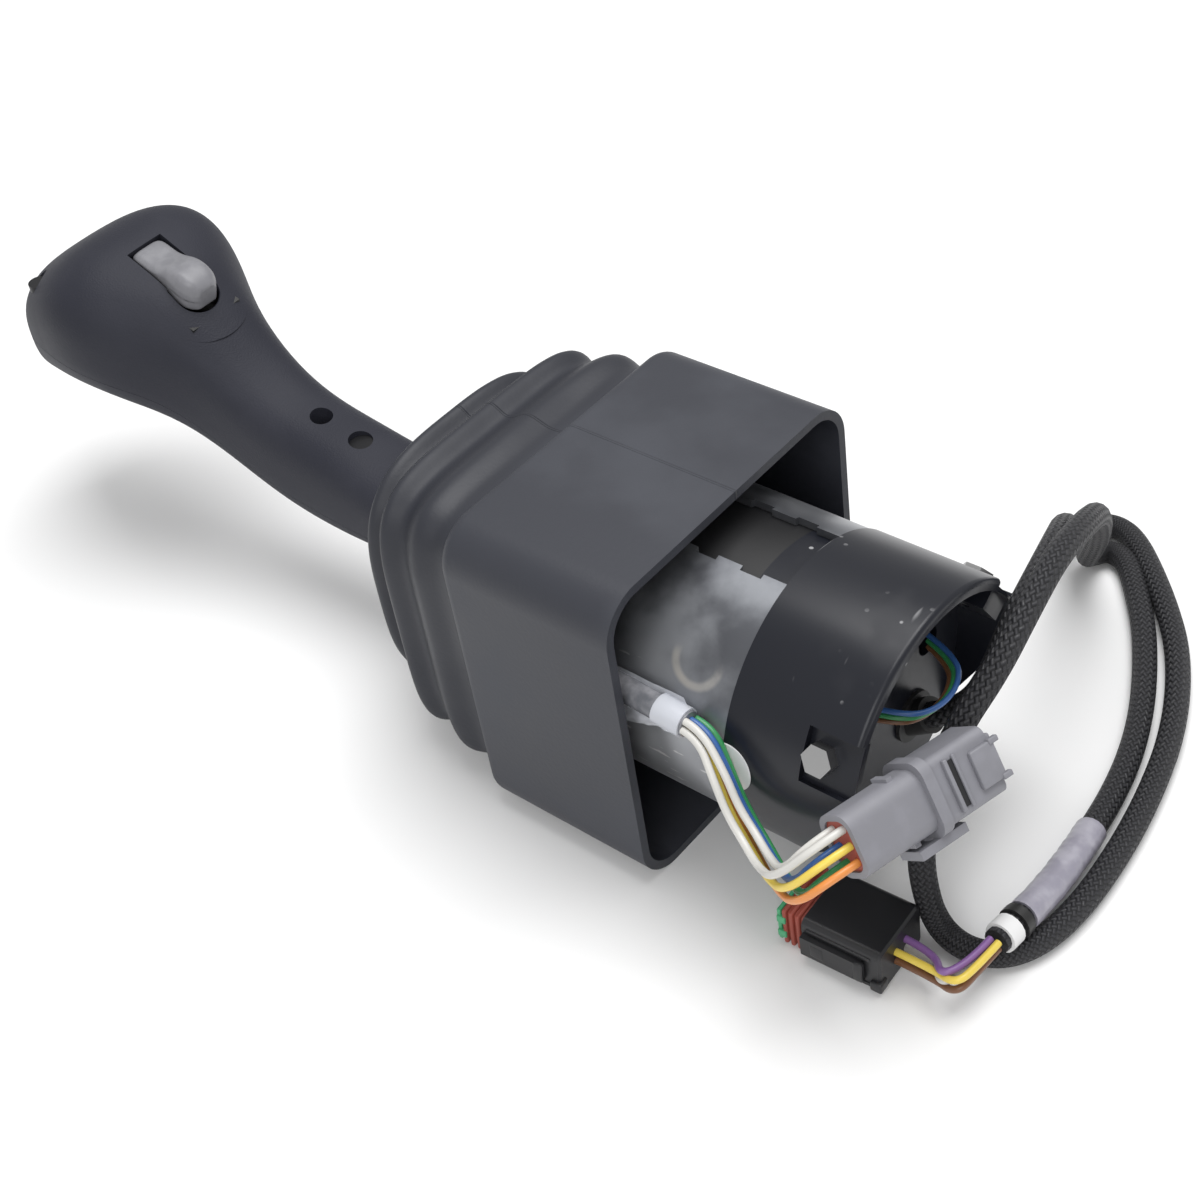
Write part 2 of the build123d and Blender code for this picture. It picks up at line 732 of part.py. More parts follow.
# Grip body before it is parted
with BuildPart() as grip_body:
    add(grip_outside)
    add(grip_inside, mode=Mode.SUBTRACT)
    with Locations((end.forward + crown.forward - end.forward, end_screw_side, end_screw_height)):
        Cylinder(end_boss_radius, 4 * crown.half_depth, rotation=(0, 90, 0))
    add(grip_outside, mode=Mode.INTERSECT)
    with BuildSketch(Plane.XY.offset(neck.height)):
        Circle(shaft_radius)
    extrude(amount=shaft_top - neck.height, mode=Mode.SUBTRACT)
    with BuildSketch(Plane.XY.offset(shaft_top)):
        Circle(shaft_bore)
    extrude(amount=grip_hollow_from + grip_wall - shaft_top, mode=Mode.SUBTRACT)
    add(extrude(rocker_sketch(rocker_side_gap), amount=-2 * switch_depth),
        mode=Mode.SUBTRACT)
    add(extrude(rocker_sketch(rocker_side_gap), amount=2 * rocker_skin), mode=Mode.SUBTRACT)
    with BuildSketch(rocker_plane.offset(-switch_top)):
        with Locations((opening_middle, 0)):
            Rectangle(opening_length + 2 * switch_wall + 2 * seat_gap,
                      opening_width + 2 * switch_wall + 2 * seat_gap)
    extrude(amount=-2 * switch_depth, mode=Mode.SUBTRACT)
    with Locations(rocker_plane * Pos(scoop_offset, 0, scoop_radius - scoop_depth)):
        Sphere(scoop_radius, mode=Mode.SUBTRACT)
    with Locations((2 * neck_front, 0, neck_screw_height)):
        Cylinder(neck_screw_head / 2 + seat_gap, 2 * neck_front + 2 * screw_seat_back,
                 rotation=(0, 90, 0), mode=Mode.SUBTRACT)
    with Locations((neck_front, 0, neck_screw_height)):
        Cylinder(neck_screw_shank / 2 + seat_gap, 2 * neck_front, rotation=(0, 90, 0),
                 mode=Mode.SUBTRACT)
    with Locations((neck_front + throat.forward, 0, neck_hole_height)):
        Cylinder(neck_hole / 2, 2 * neck_hole_depth, rotation=(0, 90, 0), mode=Mode.SUBTRACT)
    with Locations((end_screw_front, end_screw_side, end_screw_height)):
        Cylinder(end_screw_head / 2 + seat_gap, 2 * screw_recess, rotation=(0, 90, 0),
                 mode=Mode.SUBTRACT)
        Cylinder(end_screw_shank / 2, 2 * end_screw_length, rotation=(0, 90, 0),
                 mode=Mode.SUBTRACT)

for shell, space, name in ((front_space, 0, "grip_front"), (rear_space, 0, "grip_rear")):
    with BuildPart() as half:
        add(grip_body.part)
        add(shell.part, mode=Mode.INTERSECT)
    save(half.part, name)

# Screws of the grip: one in the neck, one in the end of the head
with BuildPart() as grip_screws:
    with Locations((neck_front - screw_seat_back * 0.65, 0, neck_screw_height)):
        Cylinder(neck_screw_head / 2, screw_seat_back * 0.7, rotation=(0, 90, 0))
    with BuildSketch(Plane(origin=(neck_front - screw_seat_back, 0, neck_screw_height),
                           x_dir=(0, 1, 0), z_dir=(-1, 0, 0))):
        Circle(neck_screw_shank / 2)
    extrude(amount=neck_front - screw_seat_back - shaft_bore - loose_gap)
    with BuildSketch(Plane(origin=(end_screw_front - screw_recess, end_screw_side,
                                   end_screw_height), x_dir=(0, 1, 0), z_dir=(1, 0, 0))):
        Circle(end_screw_head / 2)
    extrude(amount=screw_recess * 0.7)
    with BuildSketch(Plane(origin=(end_screw_front - screw_recess, end_screw_side,
                                   end_screw_height), x_dir=(0, 1, 0), z_dir=(-1, 0, 0))):
        Circle(end_screw_shank / 2)
    extrude(amount=end_screw_length - screw_recess - loose_gap)
save(grip_screws.part, "grip_screws")

# Switch body: open cup under the rocker's opening, with bores for the rocker's pin
with BuildPart() as switch_body:
    with BuildSketch(rocker_plane.offset(-switch_top - seat_gap)):
        with Locations((opening_middle, 0)):
            Rectangle(opening_length + 2 * switch_wall, opening_width + 2 * switch_wall)
    extrude(amount=-(switch_depth - switch_top))
    with BuildSketch(rocker_plane.offset(-switch_top - seat_gap)):
        with Locations((opening_middle, 0)):
            Rectangle(opening_length, opening_width)
    extrude(amount=-(switch_depth - switch_top - 2 * switch_wall), mode=Mode.SUBTRACT)
    with Locations(rocker_plane * Pos(0, 0, -rocker_pin_depth)):
        Cylinder(rocker_pin_radius, 2 * opening_width, rotation=(90, 0, 0), mode=Mode.SUBTRACT)
save(switch_body.part, "switch_body")

with BuildPart() as rocker_pin:
    with Locations(rocker_plane * Pos(0, 0, -rocker_pin_depth)):
        Cylinder(rocker_pin_radius, opening_width + 2 * switch_wall - seat_gap,
                 rotation=(90, 0, 0))
save(rocker_pin.part, "rocker_pin")

# Rocker: flat paddle at one end, round raised button at the other, stem on the pin
outward = Axis(rocker_plane.origin, rocker_plane.z_dir)
with BuildPart() as bump:
    with BuildSketch(rocker_plane.offset(-rocker_skin / 2)):
        with Locations((bump_middle, 0)):
            Circle(bump_radius)
    extrude(amount=bump_rise + rocker_skin / 2)
    fillet(bump.edges().sort_by(outward)[-1], bump_round)

with BuildPart() as rocker_button:
    add(extrude(rocker_sketch(0.0), amount=-rocker_skin))
    add(bump.part)
    with Locations(rocker_plane * Pos(0, 0, -(rocker_skin + rocker_pin_depth + 2.5) / 2)):
        Box(rocker_stem, rocker_stem, rocker_pin_depth + 2.5 - rocker_skin + 0.4)
    with Locations(rocker_plane * Pos(0, 0, -rocker_pin_depth)):
        Cylinder(rocker_pin_radius + running_fit, 2 * rocker_stem, rotation=(90, 0, 0),
                 mode=Mode.SUBTRACT)
save(rocker_button.part, "rocker_button")


def bend_radii(points, share=0.45):
    """Largest soft radius for each corner of a route."""
    radii = []
    for before, here, after in zip(points, points[1:], points[2:]):
        come = Vector(*here) - Vector(*before)
        leave = Vector(*after) - Vector(*here)
        half_turn = radians(come.get_angle(leave)) / 2
        radii.append(share * min(come.length, leave.length) / max(tan(half_turn), 0.01))
    return radii


def lead(name, points, diameter, bore=0.0, radii=None):
    """Sweeps a round lead or sleeve along a route and reports how tightly it bends."""
    radii = radii or bend_radii(points)
    with BuildPart() as cord:
        with BuildLine():
            route = FilletPolyline(*points, radius=radii)
        with BuildSketch(Plane(origin=route @ 0, z_dir=route % 0)):
            Circle(diameter / 2)
            if bore:
                Circle(bore / 2, mode=Mode.SUBTRACT)
        sweep()
    section = pi * (diameter ** 2 - bore ** 2) / 4
    share = cord.part.volume / (section * route.length)
    print(f"{name}: {route.length:.0f} mm, bends {min(radii):.1f} mm and up, "
          f"volume {share:.3f} of section by length")
    save(cord.part, name, lay_flat)
    return route


# Braided cable: out of the cap, twice round on the bench, back beside the black plug
floor_level = cable_diameter / 2 + loose_gap - lay_lift
nose_tip = nose_plane.offset(gland_nose).origin
cable_start = Vector(-nose_tip.Z, nose_tip.Y, nose_tip.X)
cable_route = [
    tuple(cable_start),
    tuple(cable_start + nose_run * Vector(cos(radians(gland_tilt)), 0, sin(radians(gland_tilt)))),
    (60.0, 18.0, 6.0),
    (61.0, 25.0, 17.0),
    (61.0, 38.0, 23.0),
    (58.0, 55.0, 20.0),
    (50.0, 71.0, 8.0),
    (42.6, 88.0, -9.4),
    (32.0, 105.0, -24.0),
    (24.0, 119.0, -36.0),
    (23.5, 131.0, -42.5),
    (30.0, 140.5, floor_level),
    (41.0, 145.0, floor_level),
    (52.0, 142.0, floor_level),
    (61.0, 133.0, floor_level),
    (68.0, 118.0, floor_level),
    (75.5, 101.0, floor_level),
    (82.5, 81.0, floor_level),
    (88.0, 60.0, floor_level),
    (91.0, 38.0, floor_level),
    (92.0, 17.0, floor_level),
    (89.0, 1.0, floor_level),
    (82.0, -12.0, floor_level),
    (73.0, -18.5, -43.2),
    (65.0, -21.0, -35.0),
    (62.0, -18.5, -21.0),
    (61.8, -12.0, -7.0),
    (63.0, -3.0, 6.5),
    (67.0, 8.0, 19.0),
    (67.5, 20.0, 28.0),
    (66.0, 35.0, 32.0),
    (64.0, 50.0, 29.0),
    (60.0, 64.0, 21.0),
    (54.0, 78.0, 8.0),
    (49.0, 90.0, -7.0),
    (43.0, 101.0, -23.0),
    (36.0, 108.0, -36.5),
    (33.0, 116.0, -42.5),
    (36.5, 124.0, floor_level),
    (44.5, 127.0, floor_level),
    (52.0, 122.0, floor_level),
    (57.5, 112.0, floor_level),
    (63.0, 99.0, floor_level),
    (69.5, 83.0, floor_level),
    (75.0, 66.0, floor_level),
    (79.0, 48.0, floor_level),
    (81.0, 29.0, floor_level),
    (80.0, 11.0, -41.8),
    (77.5, -6.5, -37.6),
]
lead("braided_cable", cable_route, cable_diameter)

# Sleeves over the cable's far end, and the blank label round it
end_radii = bend_radii(cable_route)[-2:]
sleeve_start = Vector(*cable_route[-4]) * 0.55 + Vector(*cable_route[-3]) * 0.45
sleeve_end = Vector(*cable_route[-2]) * 0.42 + Vector(*cable_route[-1]) * 0.58
sleeve_route = [tuple(sleeve_start), *cable_route[-3:-1], tuple(sleeve_end)]
lead("shrink_sleeve", sleeve_route, shrink_diameter, cable_diameter, end_radii)
last_run = Vector(*cable_route[-1]) - Vector(*cable_route[-2])
cable_tip = Plane(origin=cable_route[-1], z_dir=last_run)
tube_length_on_cable = (Vector(*cable_route[-1]) - sleeve_end).length
for name, start, stop, outer in (("shrink_tube", 1.0, 0.48, shrink_tube_diameter),
                                 ("label_band", 0.46, 0.0, label_diameter)):
    with BuildPart() as ring:
        with BuildSketch(cable_tip.offset(-tube_length_on_cable * start)):
            Circle(outer / 2)
            Circle(cable_diameter / 2, mode=Mode.SUBTRACT)
        extrude(amount=tube_length_on_cable * (start - stop))
    save(ring.part, name, lay_flat)

# Black plug: housing with an open end, ribbed seal and green wedge in it, latch on its side
black_plane = Plane(origin=(*black_plug_place, black_plug_height / 2 - lay_lift),
                    x_dir=(-sin(radians(black_plug_turn)), cos(radians(black_plug_turn)), 0),
                    z_dir=(cos(radians(black_plug_turn)), sin(radians(black_plug_turn)), 0))
wire_pitch = 3.2
black_wires = [(column * wire_pitch, row * wire_pitch / 2)
               for row in (-1, 1) for column in (-0.7, 0.7)]
with BuildPart() as black_plug:
    with BuildSketch(black_plane):
        RectangleRounded(black_plug_width, black_plug_height, black_plug_round)
    extrude(amount=black_plug_length)
    chamfer(black_plug.edges().sort_by(Axis(black_plane.origin, black_plane.z_dir))[-8:], 0.6)
    with BuildSketch(black_plane):
        RectangleRounded(black_plug_width - 2 * black_wall, black_plug_height - 2 * black_wall,
                         black_plug_round / 2)
    extrude(amount=black_cavity_depth, mode=Mode.SUBTRACT)
    with BuildSketch(black_plane.offset(black_plug_length)):
        with Locations(*black_wires):
            Circle(plug_wire_diameter / 2 + seat_gap)
    extrude(amount=-seal_depth, mode=Mode.SUBTRACT)
    latch_side = black_plane * Pos(-black_plug_width / 2 - 0.8, 0, black_plug_length * 0.55)
    with Locations(latch_side):
        Box(1.8, black_plug_height * 0.45, black_plug_length * 0.55)
save(black_plug.part, "black_plug", lay_flat)

with BuildPart() as black_seal:
    inner_width = black_plug_width - 2 * black_wall
    inner_height = black_plug_height - 2 * black_wall
    for rib in range(3):
        with BuildSketch(black_plane.offset(black_cavity_depth - 2 * (rib + 1))):
            RectangleRounded(inner_width - seat_gap, inner_height - seat_gap, 0.9)
        extrude(amount=1.0)
    with BuildSketch(black_plane.offset(black_cavity_depth - black_seal_length)):
        RectangleRounded(inner_width - 1.4, inner_height - 1.4, 0.8)
    extrude(amount=black_seal_length)
    with BuildSketch(black_plane.offset(black_cavity_depth - black_seal_length)):
        RectangleRounded(inner_width - 4.5, inner_height - 4.0, 0.8)
    extrude(amount=black_seal_length, mode=Mode.SUBTRACT)
save(black_seal.part, "black_seal", lay_flat)

with BuildPart() as green_wedge:
    with BuildSketch(black_plane.offset(black_cavity_depth)):
        RectangleRounded(inner_width - 4.9, inner_height - 4.4, 0.8)
    extrude(amount=-wedge_length)
    with BuildSketch(black_plane.offset(black_cavity_depth - wedge_length)):
        with GridLocations(wire_pitch, wire_pitch, 3, 1):
            Rectangle(1.8, 2.4)
    extrude(amount=4.0, mode=Mode.SUBTRACT)
save(green_wedge.part, "green_wedge", lay_flat)

# Wires from the end of the cable to the black plug, two above and two below
plug_wires = ("plug_wire_brown", "plug_wire_white", "plug_wire_yellow", "plug_wire_purple")
cable_end = Vector(*cable_route[-1])
for number, name in enumerate(plug_wires):
    along_face, up = black_wires[number]
    aside = -along_face * 0.46
    rise = up * 0.66
    first = cable_end + cable_tip.z_dir * 0.75 + Vector(aside, 0, rise)
    last = (black_plane * Pos(along_face, up, black_plug_length - seal_depth)).position
    points = [first, first + Vector(1.5, -8.0, 1.3), first + Vector(3.2 + aside, -18.0, up / 2),
              last + black_plane.z_dir * (9.5 + aside), last]
    lead(name, [tuple(p) for p in points], plug_wire_diameter)

# Grey connector pair: receptacle with its red seal, plug with its latch, and a clip below
grey_plane = Plane(origin=grey_seal_place, x_dir=grey_broad, z_dir=grey_axis)
grey_wires = [(column * wire_pitch_wide, row * wire_pitch_high / 2)
              for row in (-1, 1) for column in (-1, 0, 1)]
with BuildPart() as grey_receptacle:
    with BuildSketch(grey_plane):
        RectangleRounded(grey_width, grey_height, 4.0)
    extrude(amount=receptacle_length)
    with BuildSketch(grey_plane.offset(receptacle_length - collar_length)):
        RectangleRounded(grey_width + collar_swell, grey_height + collar_swell, 4.0)
    extrude(amount=collar_length)
    with BuildSketch(grey_plane.offset(receptacle_length * 0.62)):
        Rectangle(grey_width + 1.6, grey_height * 0.5)
    extrude(amount=1.6)
    with BuildSketch(grey_plane):
        RectangleRounded(grey_width - 2 * receptacle_wall, grey_height - 2 * receptacle_wall, 2.8)
    extrude(amount=2 * seal_depth, mode=Mode.SUBTRACT)
save(grey_receptacle.part, "grey_receptacle", lay_flat)

with BuildPart() as grey_seal:
    with BuildSketch(grey_plane.offset(0.6)):
        RectangleRounded(grey_width - 2 * receptacle_wall, grey_height - 2 * receptacle_wall, 2.8)
        with Locations(*grey_wires):
            Circle(wire_diameter / 2, mode=Mode.SUBTRACT)
    extrude(amount=2 * seal_depth - 0.6)
save(grey_seal.part, "grey_seal", lay_flat)

with BuildPart() as grey_plug:
    with BuildSketch(grey_plane.offset(receptacle_length)):
        RectangleRounded(plug_width, plug_height, 2.2)
    extrude(amount=plug_length)
    with Locations(grey_plane * Pos(0, plug_height / 2 + latch_height / 2,
                                    receptacle_length + plug_length - latch_length / 2)):
        Box(latch_width, latch_height, latch_length)
    with Locations(grey_plane * Pos(0, plug_height / 2, receptacle_length + 5.0)):
        Box(4.0, 2.4, 9.0, mode=Mode.SUBTRACT)
    with BuildSketch(grey_plane.offset(receptacle_length + plug_length)):
        with GridLocations(wire_pitch_wide, wire_pitch_high, 3, 2):
            Circle(0.9)
    extrude(amount=-4.0, mode=Mode.SUBTRACT)
save(grey_plug.part, "grey_plug", lay_flat)

with BuildPart() as connector_clip:
    clip_spot = grey_plane * Pos(grey_width / 2 + collar_swell / 2 + clip_thickness / 2, 0,
                                 receptacle_length * 0.9)
    with Locations(clip_spot):
        Box(clip_thickness, clip_width, clip_length)
        Cylinder(clip_hole / 2, 3 * clip_thickness, rotation=(0, 90, 0), mode=Mode.SUBTRACT)
save(connector_clip.part, "connector_clip", lay_flat)

# Handle lead: clear sleeve along the tube, six wires from its end to the grey seal
sleeve_points = [(-flange_underside + seat_gap, lead_side, lead_front),
                 (-22.0, lead_side, lead_front), (-2.0, -39.2, 15.4), (15.0, -39.7, 14.5)]
lead("clear_sleeve", sleeve_points, clear_sleeve_diameter)
sleeve_tip = Plane(origin=sleeve_points[-1], z_dir=Vector(*sleeve_points[-1])
                   - Vector(*sleeve_points[-2]))
seal_face = (grey_plane * Pos(0, 0, 2.0)).position
bundle_start = Vector(*sleeve_points[-1]) + sleeve_tip.z_dir * seat_gap
bundle_route = [bundle_start, bundle_start + sleeve_tip.z_dir * 5.0,
                Vector(26.0, -43.0, 8.0), Vector(31.0, -45.0, 0.0), Vector(38.0, -47.5, -5.0),
                Vector(47.0, -53.0, -4.5), Vector(56.0, -59.0, 3.0),
                seal_face - grey_plane.z_dir * 9.0, seal_face]
bundle_spread = (0.56, 0.6, 0.8, 0.85, 0.9, 0.9, 0.9, 1.0, 1.0)


def bundle_spots(column, row):
    """One wire's route: it keeps its place beside the bundle's middle all the way."""
    spots = []
    wide = grey_plane.x_dir
    last = len(bundle_route) - 1
    for index in range(last, -1, -1):
        run = 0 if index < 2 else min(index, last - 1)
        ahead = (bundle_route[run + 1] - bundle_route[run]).normalized()
        wide = (wide - ahead * wide.dot(ahead)).normalized()
        high = ahead.cross(wide)
        aside = wide * column * wire_pitch_wide + high * row * wire_pitch_high
        spots.insert(0, tuple(bundle_route[index] + aside * bundle_spread[index]))
    return spots


handle_wires = ("wire_white_1", "wire_yellow", "wire_orange", "wire_white_2", "wire_blue",
                "wire_green")
grid = [(column, row) for row in (-0.5, 0.5) for column in (-1, 0, 1)]
for name, (column, row) in zip(handle_wires, grid):
    lead(name, bundle_spots(column, row), wire_diameter)

# Tape flag round the clear sleeve
with BuildPart() as tape_flag:
    with Locations(sleeve_tip * Pos(0, 0, -4.6)):
        Cylinder(clear_sleeve_diameter / 2 + 0.5, 8.0)
        Cylinder(clear_sleeve_diameter / 2 + running_fit / 2, 8.0, mode=Mode.SUBTRACT)
save(tape_flag.part, "tape_flag", lay_flat)

# Thin wires that loop out of the cap's floor and back
for number, name in enumerate(("cap_wire_brown", "cap_wire_green", "cap_wire_blue")):
    side = 2.0 * number - 2.0
    reach = 12.0 + 1.5 * number
    level = wire_exits[0].position.X + side
    points = [(-cup_floor, wire_exits[0].position.Y, level),
              (-cup_floor + reach * 0.7, 19.0, level),
              (-cup_floor + reach, 12.0, level - 1.0),
              (-cup_floor + reach, 3.0, level - 1.0),
              (-cup_floor + reach * 0.7, -4.0, level),
              (-cup_floor, wire_exits[1].position.Y, level)]
    lead(name, points, cap_wire_diameter)
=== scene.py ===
"""Dresses the industrial joystick: folds, finishes, leads, sticker, light and camera."""

import json
from math import atan2, cos, pi, radians, sin

import bmesh
import bpy
from mathutils import Matrix, Vector, bvhtree, noise


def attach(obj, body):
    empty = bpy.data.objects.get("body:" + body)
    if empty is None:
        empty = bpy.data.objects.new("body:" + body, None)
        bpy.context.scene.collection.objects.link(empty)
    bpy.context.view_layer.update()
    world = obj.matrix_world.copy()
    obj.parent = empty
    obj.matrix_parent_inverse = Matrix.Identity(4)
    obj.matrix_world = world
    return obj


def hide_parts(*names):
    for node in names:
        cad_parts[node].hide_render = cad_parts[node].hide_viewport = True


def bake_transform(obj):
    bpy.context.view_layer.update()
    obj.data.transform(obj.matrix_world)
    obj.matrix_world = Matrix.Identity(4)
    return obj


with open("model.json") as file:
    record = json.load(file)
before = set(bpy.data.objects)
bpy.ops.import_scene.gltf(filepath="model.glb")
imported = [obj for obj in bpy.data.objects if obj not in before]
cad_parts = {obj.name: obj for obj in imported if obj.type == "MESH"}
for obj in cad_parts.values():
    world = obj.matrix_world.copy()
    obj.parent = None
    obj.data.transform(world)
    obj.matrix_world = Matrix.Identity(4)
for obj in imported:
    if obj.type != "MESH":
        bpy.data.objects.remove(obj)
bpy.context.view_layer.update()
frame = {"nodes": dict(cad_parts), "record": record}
nodes = frame["nodes"]

# Sizes and places are in millimetres. The stick lies on its side, and places are measured from
# the middle of the boot's rim. RIM_PLACE is where that middle lies in the shared frame.
TIP_HEIGHT = 266.5
CAP_END = 57.0
RIM_HEIGHT = 47.0
RIM_PLACE = Vector(((TIP_HEIGHT - CAP_END) / 2, 0, RIM_HEIGHT))

# Height of the cable's middle line where it lies on the floor
CABLE_SIZE = 6.6
FLOOR_GAP = 0.3
FLOOR_LEVEL = CABLE_SIZE / 2 + FLOOR_GAP - RIM_PLACE.z


def row(x, y, z):
    """A place on or beside the lying stick, in metres of the shared frame."""
    return (Vector((x, y, z)) + RIM_PLACE) / 1000


def row_up(front, side, height):
    """A place on the stick as if it stood upright, in metres of the shared frame."""
    return row(-height, side, front)


# Camera, as the picture was taken
SEEN_RIGHT = Vector((0.765, 0.6308, -0.1296))
SEEN_DOWN = Vector((0.354, -0.58, -0.7337))
SEEN_AHEAD = Vector((-0.538, 0.5154, -0.667))
CAMERA_PLACE = (236.2, -272.5, 344.1)
CAMERA_LENS = 60.0
CAMERA_SENSOR = 36.0


def place_camera():
    """Looks at the stick as in the picture."""
    data = bpy.data.cameras.new("camera")
    data.lens = CAMERA_LENS
    data.sensor_width = CAMERA_SENSOR
    camera = bpy.data.objects.new("camera", data)
    bpy.context.scene.collection.objects.link(camera)
    turned = Matrix((SEEN_RIGHT, -SEEN_DOWN, -SEEN_AHEAD)).transposed().to_4x4()
    camera.matrix_world = Matrix.Translation(row(*CAMERA_PLACE)) @ turned
    bpy.context.scene.camera = camera


place_camera()


class Socket:
    """A number in a material, so that shader maths reads as plain arithmetic."""

    def __init__(self, finish, link):
        self.finish = finish
        self.link = link

    def _math(self, operation, first, second):
        return self.finish.node("ShaderNodeMath", {"operation": operation}, [first, second])

    def __add__(self, other):
        return self._math("ADD", self, other)

    def __radd__(self, other):
        return self._math("ADD", other, self)

    def __sub__(self, other):
        return self._math("SUBTRACT", self, other)

    def __rsub__(self, other):
        return self._math("SUBTRACT", other, self)

    def __mul__(self, other):
        return self._math("MULTIPLY", self, other)

    def above(self, level):
        return self._math("GREATER_THAN", self, level)

    def sine(self):
        return self._math("SINE", self, 0.0)

    def size(self):
        return self._math("ABSOLUTE", self, 0.0)

    def most(self, other):
        return self._math("MAXIMUM", self, other)


class Finish:
    """One material: a surface shader and the few nodes that vary it."""

    def __init__(self, name, color, roughness, metallic=0.0, **sockets):
        self.material = bpy.data.materials.new(name)
        self.material.use_nodes = True
        self.tree = self.material.node_tree
        self.surface = self.tree.nodes["Principled BSDF"]
        self.set("Base Color", (*color, 1.0))
        self.set("Roughness", roughness)
        self.set("Metallic", metallic)
        for socket, value in sockets.items():
            self.set(socket.replace("_", " "), value)

    def set(self, socket, value):
        """Puts a plain value or a link on a socket of the surface shader."""
        self._fill(self.surface.inputs[socket], value)

    def _fill(self, target, value):
        if isinstance(value, Socket):
            self.tree.links.new(value.link, target)
        else:
            target.default_value = value

    def node(self, kind, settings=None, values=(), output=0):
        """Any other node: its settings first, then the values or links of its sockets."""
        made = self.tree.nodes.new(kind)
        for key, value in (settings or {}).items():
            setattr(made, key, value)
        pairs = values.items() if isinstance(values, dict) else enumerate(values)
        for key, value in pairs:
            self._fill(made.inputs[key], value)
        return Socket(self, made.outputs[output])

    def place(self, stretch=(1.0, 1.0, 1.0)):
        """Object coordinates, stretched along the axes."""
        coordinates = self.node("ShaderNodeTexCoord", output="Object")
        if stretch == (1.0, 1.0, 1.0):
            return coordinates
        return self.node("ShaderNodeMapping", values={"Vector": coordinates, "Scale": stretch})

    def one_of(self, place, axis):
        """One coordinate of a place, by its number from 0 to 2."""
        return self.node("ShaderNodeSeparateXYZ", values=[place], output=axis)

    def grain(self, scale, detail=4.0, stretch=(1.0, 1.0, 1.0)):
        """Cloudy noise from 0 to 1."""
        return self.node("ShaderNodeTexNoise",
                         values={"Vector": self.place(stretch), "Scale": scale, "Detail": detail})

    def split(self, value, low, high):
        """A soft step from 0 to 1 between two levels."""
        return self.node("ShaderNodeMapRange", {"interpolation_type": "SMOOTHSTEP"},
                         {"Value": value, "From Min": low, "From Max": high})

    def blend(self, share, first, second):
        """A colour between two, by a share."""
        first, second = [(*colour, 1.0) if isinstance(colour, tuple) else colour
                         for colour in (first, second)]
        return self.node("ShaderNodeMix", {"data_type": "RGBA"},
                         {0: share, 6: first, 7: second}, output=2)

    def bumps(self, height, strength, depth):
        """Small relief on the surface."""
        self.set("Normal", self.node("ShaderNodeBump", values={
            "Strength": strength, "Distance": depth, "Height": height}))


# Boot: the mould's seam, and the shoulder from the folds, darkened with painted shade, to the
# dusty skirt, in metres
SEAM_SIDE = 0.003
SEAM_EDGE = (0.0001, 0.0005)
FOLD_SHADE_SHOULDER = (0.046, 0.054)


def boot_rubber():
    """Matte moulded rubber: dusty on the skirt, darker on the folds as painted shade, with a seam
    on top.
    """
    finish = Finish("boot_rubber", (0.036, 0.039, 0.048), 0.62, Specular_IOR_Level=0.4)
    bloom = finish.split(finish.grain(28.0), 0.42, 0.72)
    finish.set("Roughness", 0.48 + bloom * 0.14)
    place = finish.place()
    along, side, height = [finish.one_of(place, axis) for axis in range(3)]
    skirt = finish.split(along, *FOLD_SHADE_SHOULDER)
    dusty = finish.blend(bloom, (0.031, 0.033, 0.042), (0.045, 0.048, 0.059))
    # Painted shade: the folds take a darker colour than the skirt, for the shade in their
    # creases.
    finish.set("Base Color", finish.blend(skirt, (0.021, 0.0225, 0.03), dusty))
    seam = 1 - finish.split((side - SEAM_SIDE).size(), *SEAM_EDGE)
    seam_on_top = seam * height.above(RIM_PLACE.z / 1000)
    finish.bumps(seam_on_top + finish.grain(900.0, 2.0) * 0.16, 0.9, 0.0003)
    return finish.material


def grip_plastic():
    """Moulded grip with a fine spark texture."""
    finish = Finish("grip_plastic", (0.024, 0.025, 0.034), 0.6, Specular_IOR_Level=0.22)
    wear = finish.split(finish.grain(34.0), 0.4, 0.75)
    finish.set("Base Color", finish.blend(wear, (0.021, 0.022, 0.031), (0.028, 0.029, 0.039)))
    finish.set("Roughness", 0.54 + wear * 0.1)
    finish.bumps(finish.grain(1900.0, 2.0), 0.6, 0.0002)
    return finish.material


# Old glue on the tube: the middle of its arc, the arc's radius and soft edge in metres
GLUE_PLACE = (11.0, -29.0, 24.0)
GLUE_RADIUS = 0.0062
GLUE_EDGE = (0.0003, 0.0016)
GLUE_TOP = (-0.001, 0.002)


def housing_steel():
    """Bare tube, dull and mottled, with a few bright scuffs and an arc of old glue."""
    finish = Finish("housing_steel", (0.3, 0.31, 0.33), 0.45, 0.75)
    mottle = finish.split(finish.grain(48.0, 6.0), 0.38, 0.66)
    patch = finish.split(finish.grain(17.0, 3.0), 0.45, 0.62)
    scuff = finish.split(finish.grain(380.0, 3.0, (0.3, 1.0, 1.0)), 0.66, 0.72)
    colour = finish.blend(mottle, (0.13, 0.135, 0.15), (0.27, 0.28, 0.3))
    colour = finish.blend(patch * 0.7, colour, (0.42, 0.43, 0.45))
    colour = finish.blend(scuff * patch, colour, (0.62, 0.62, 0.62))
    offset = finish.node("ShaderNodeVectorMath", {"operation": "SUBTRACT"},
                         [finish.place(), tuple(row(*GLUE_PLACE))])
    distance = finish.node("ShaderNodeVectorMath", {"operation": "LENGTH"}, [offset], output=1)
    ring = 1 - finish.split((distance - GLUE_RADIUS).size(), *GLUE_EDGE)
    below = 1 - finish.split(finish.one_of(offset, 2), *GLUE_TOP)
    finish.set("Base Color", finish.blend(ring * below * mottle, colour, (0.5, 0.48, 0.45)))
    finish.set("Roughness", 0.38 + mottle * 0.2)
    finish.bumps(finish.grain(300.0, 5.0), 0.15, 0.0001)
    return finish.material


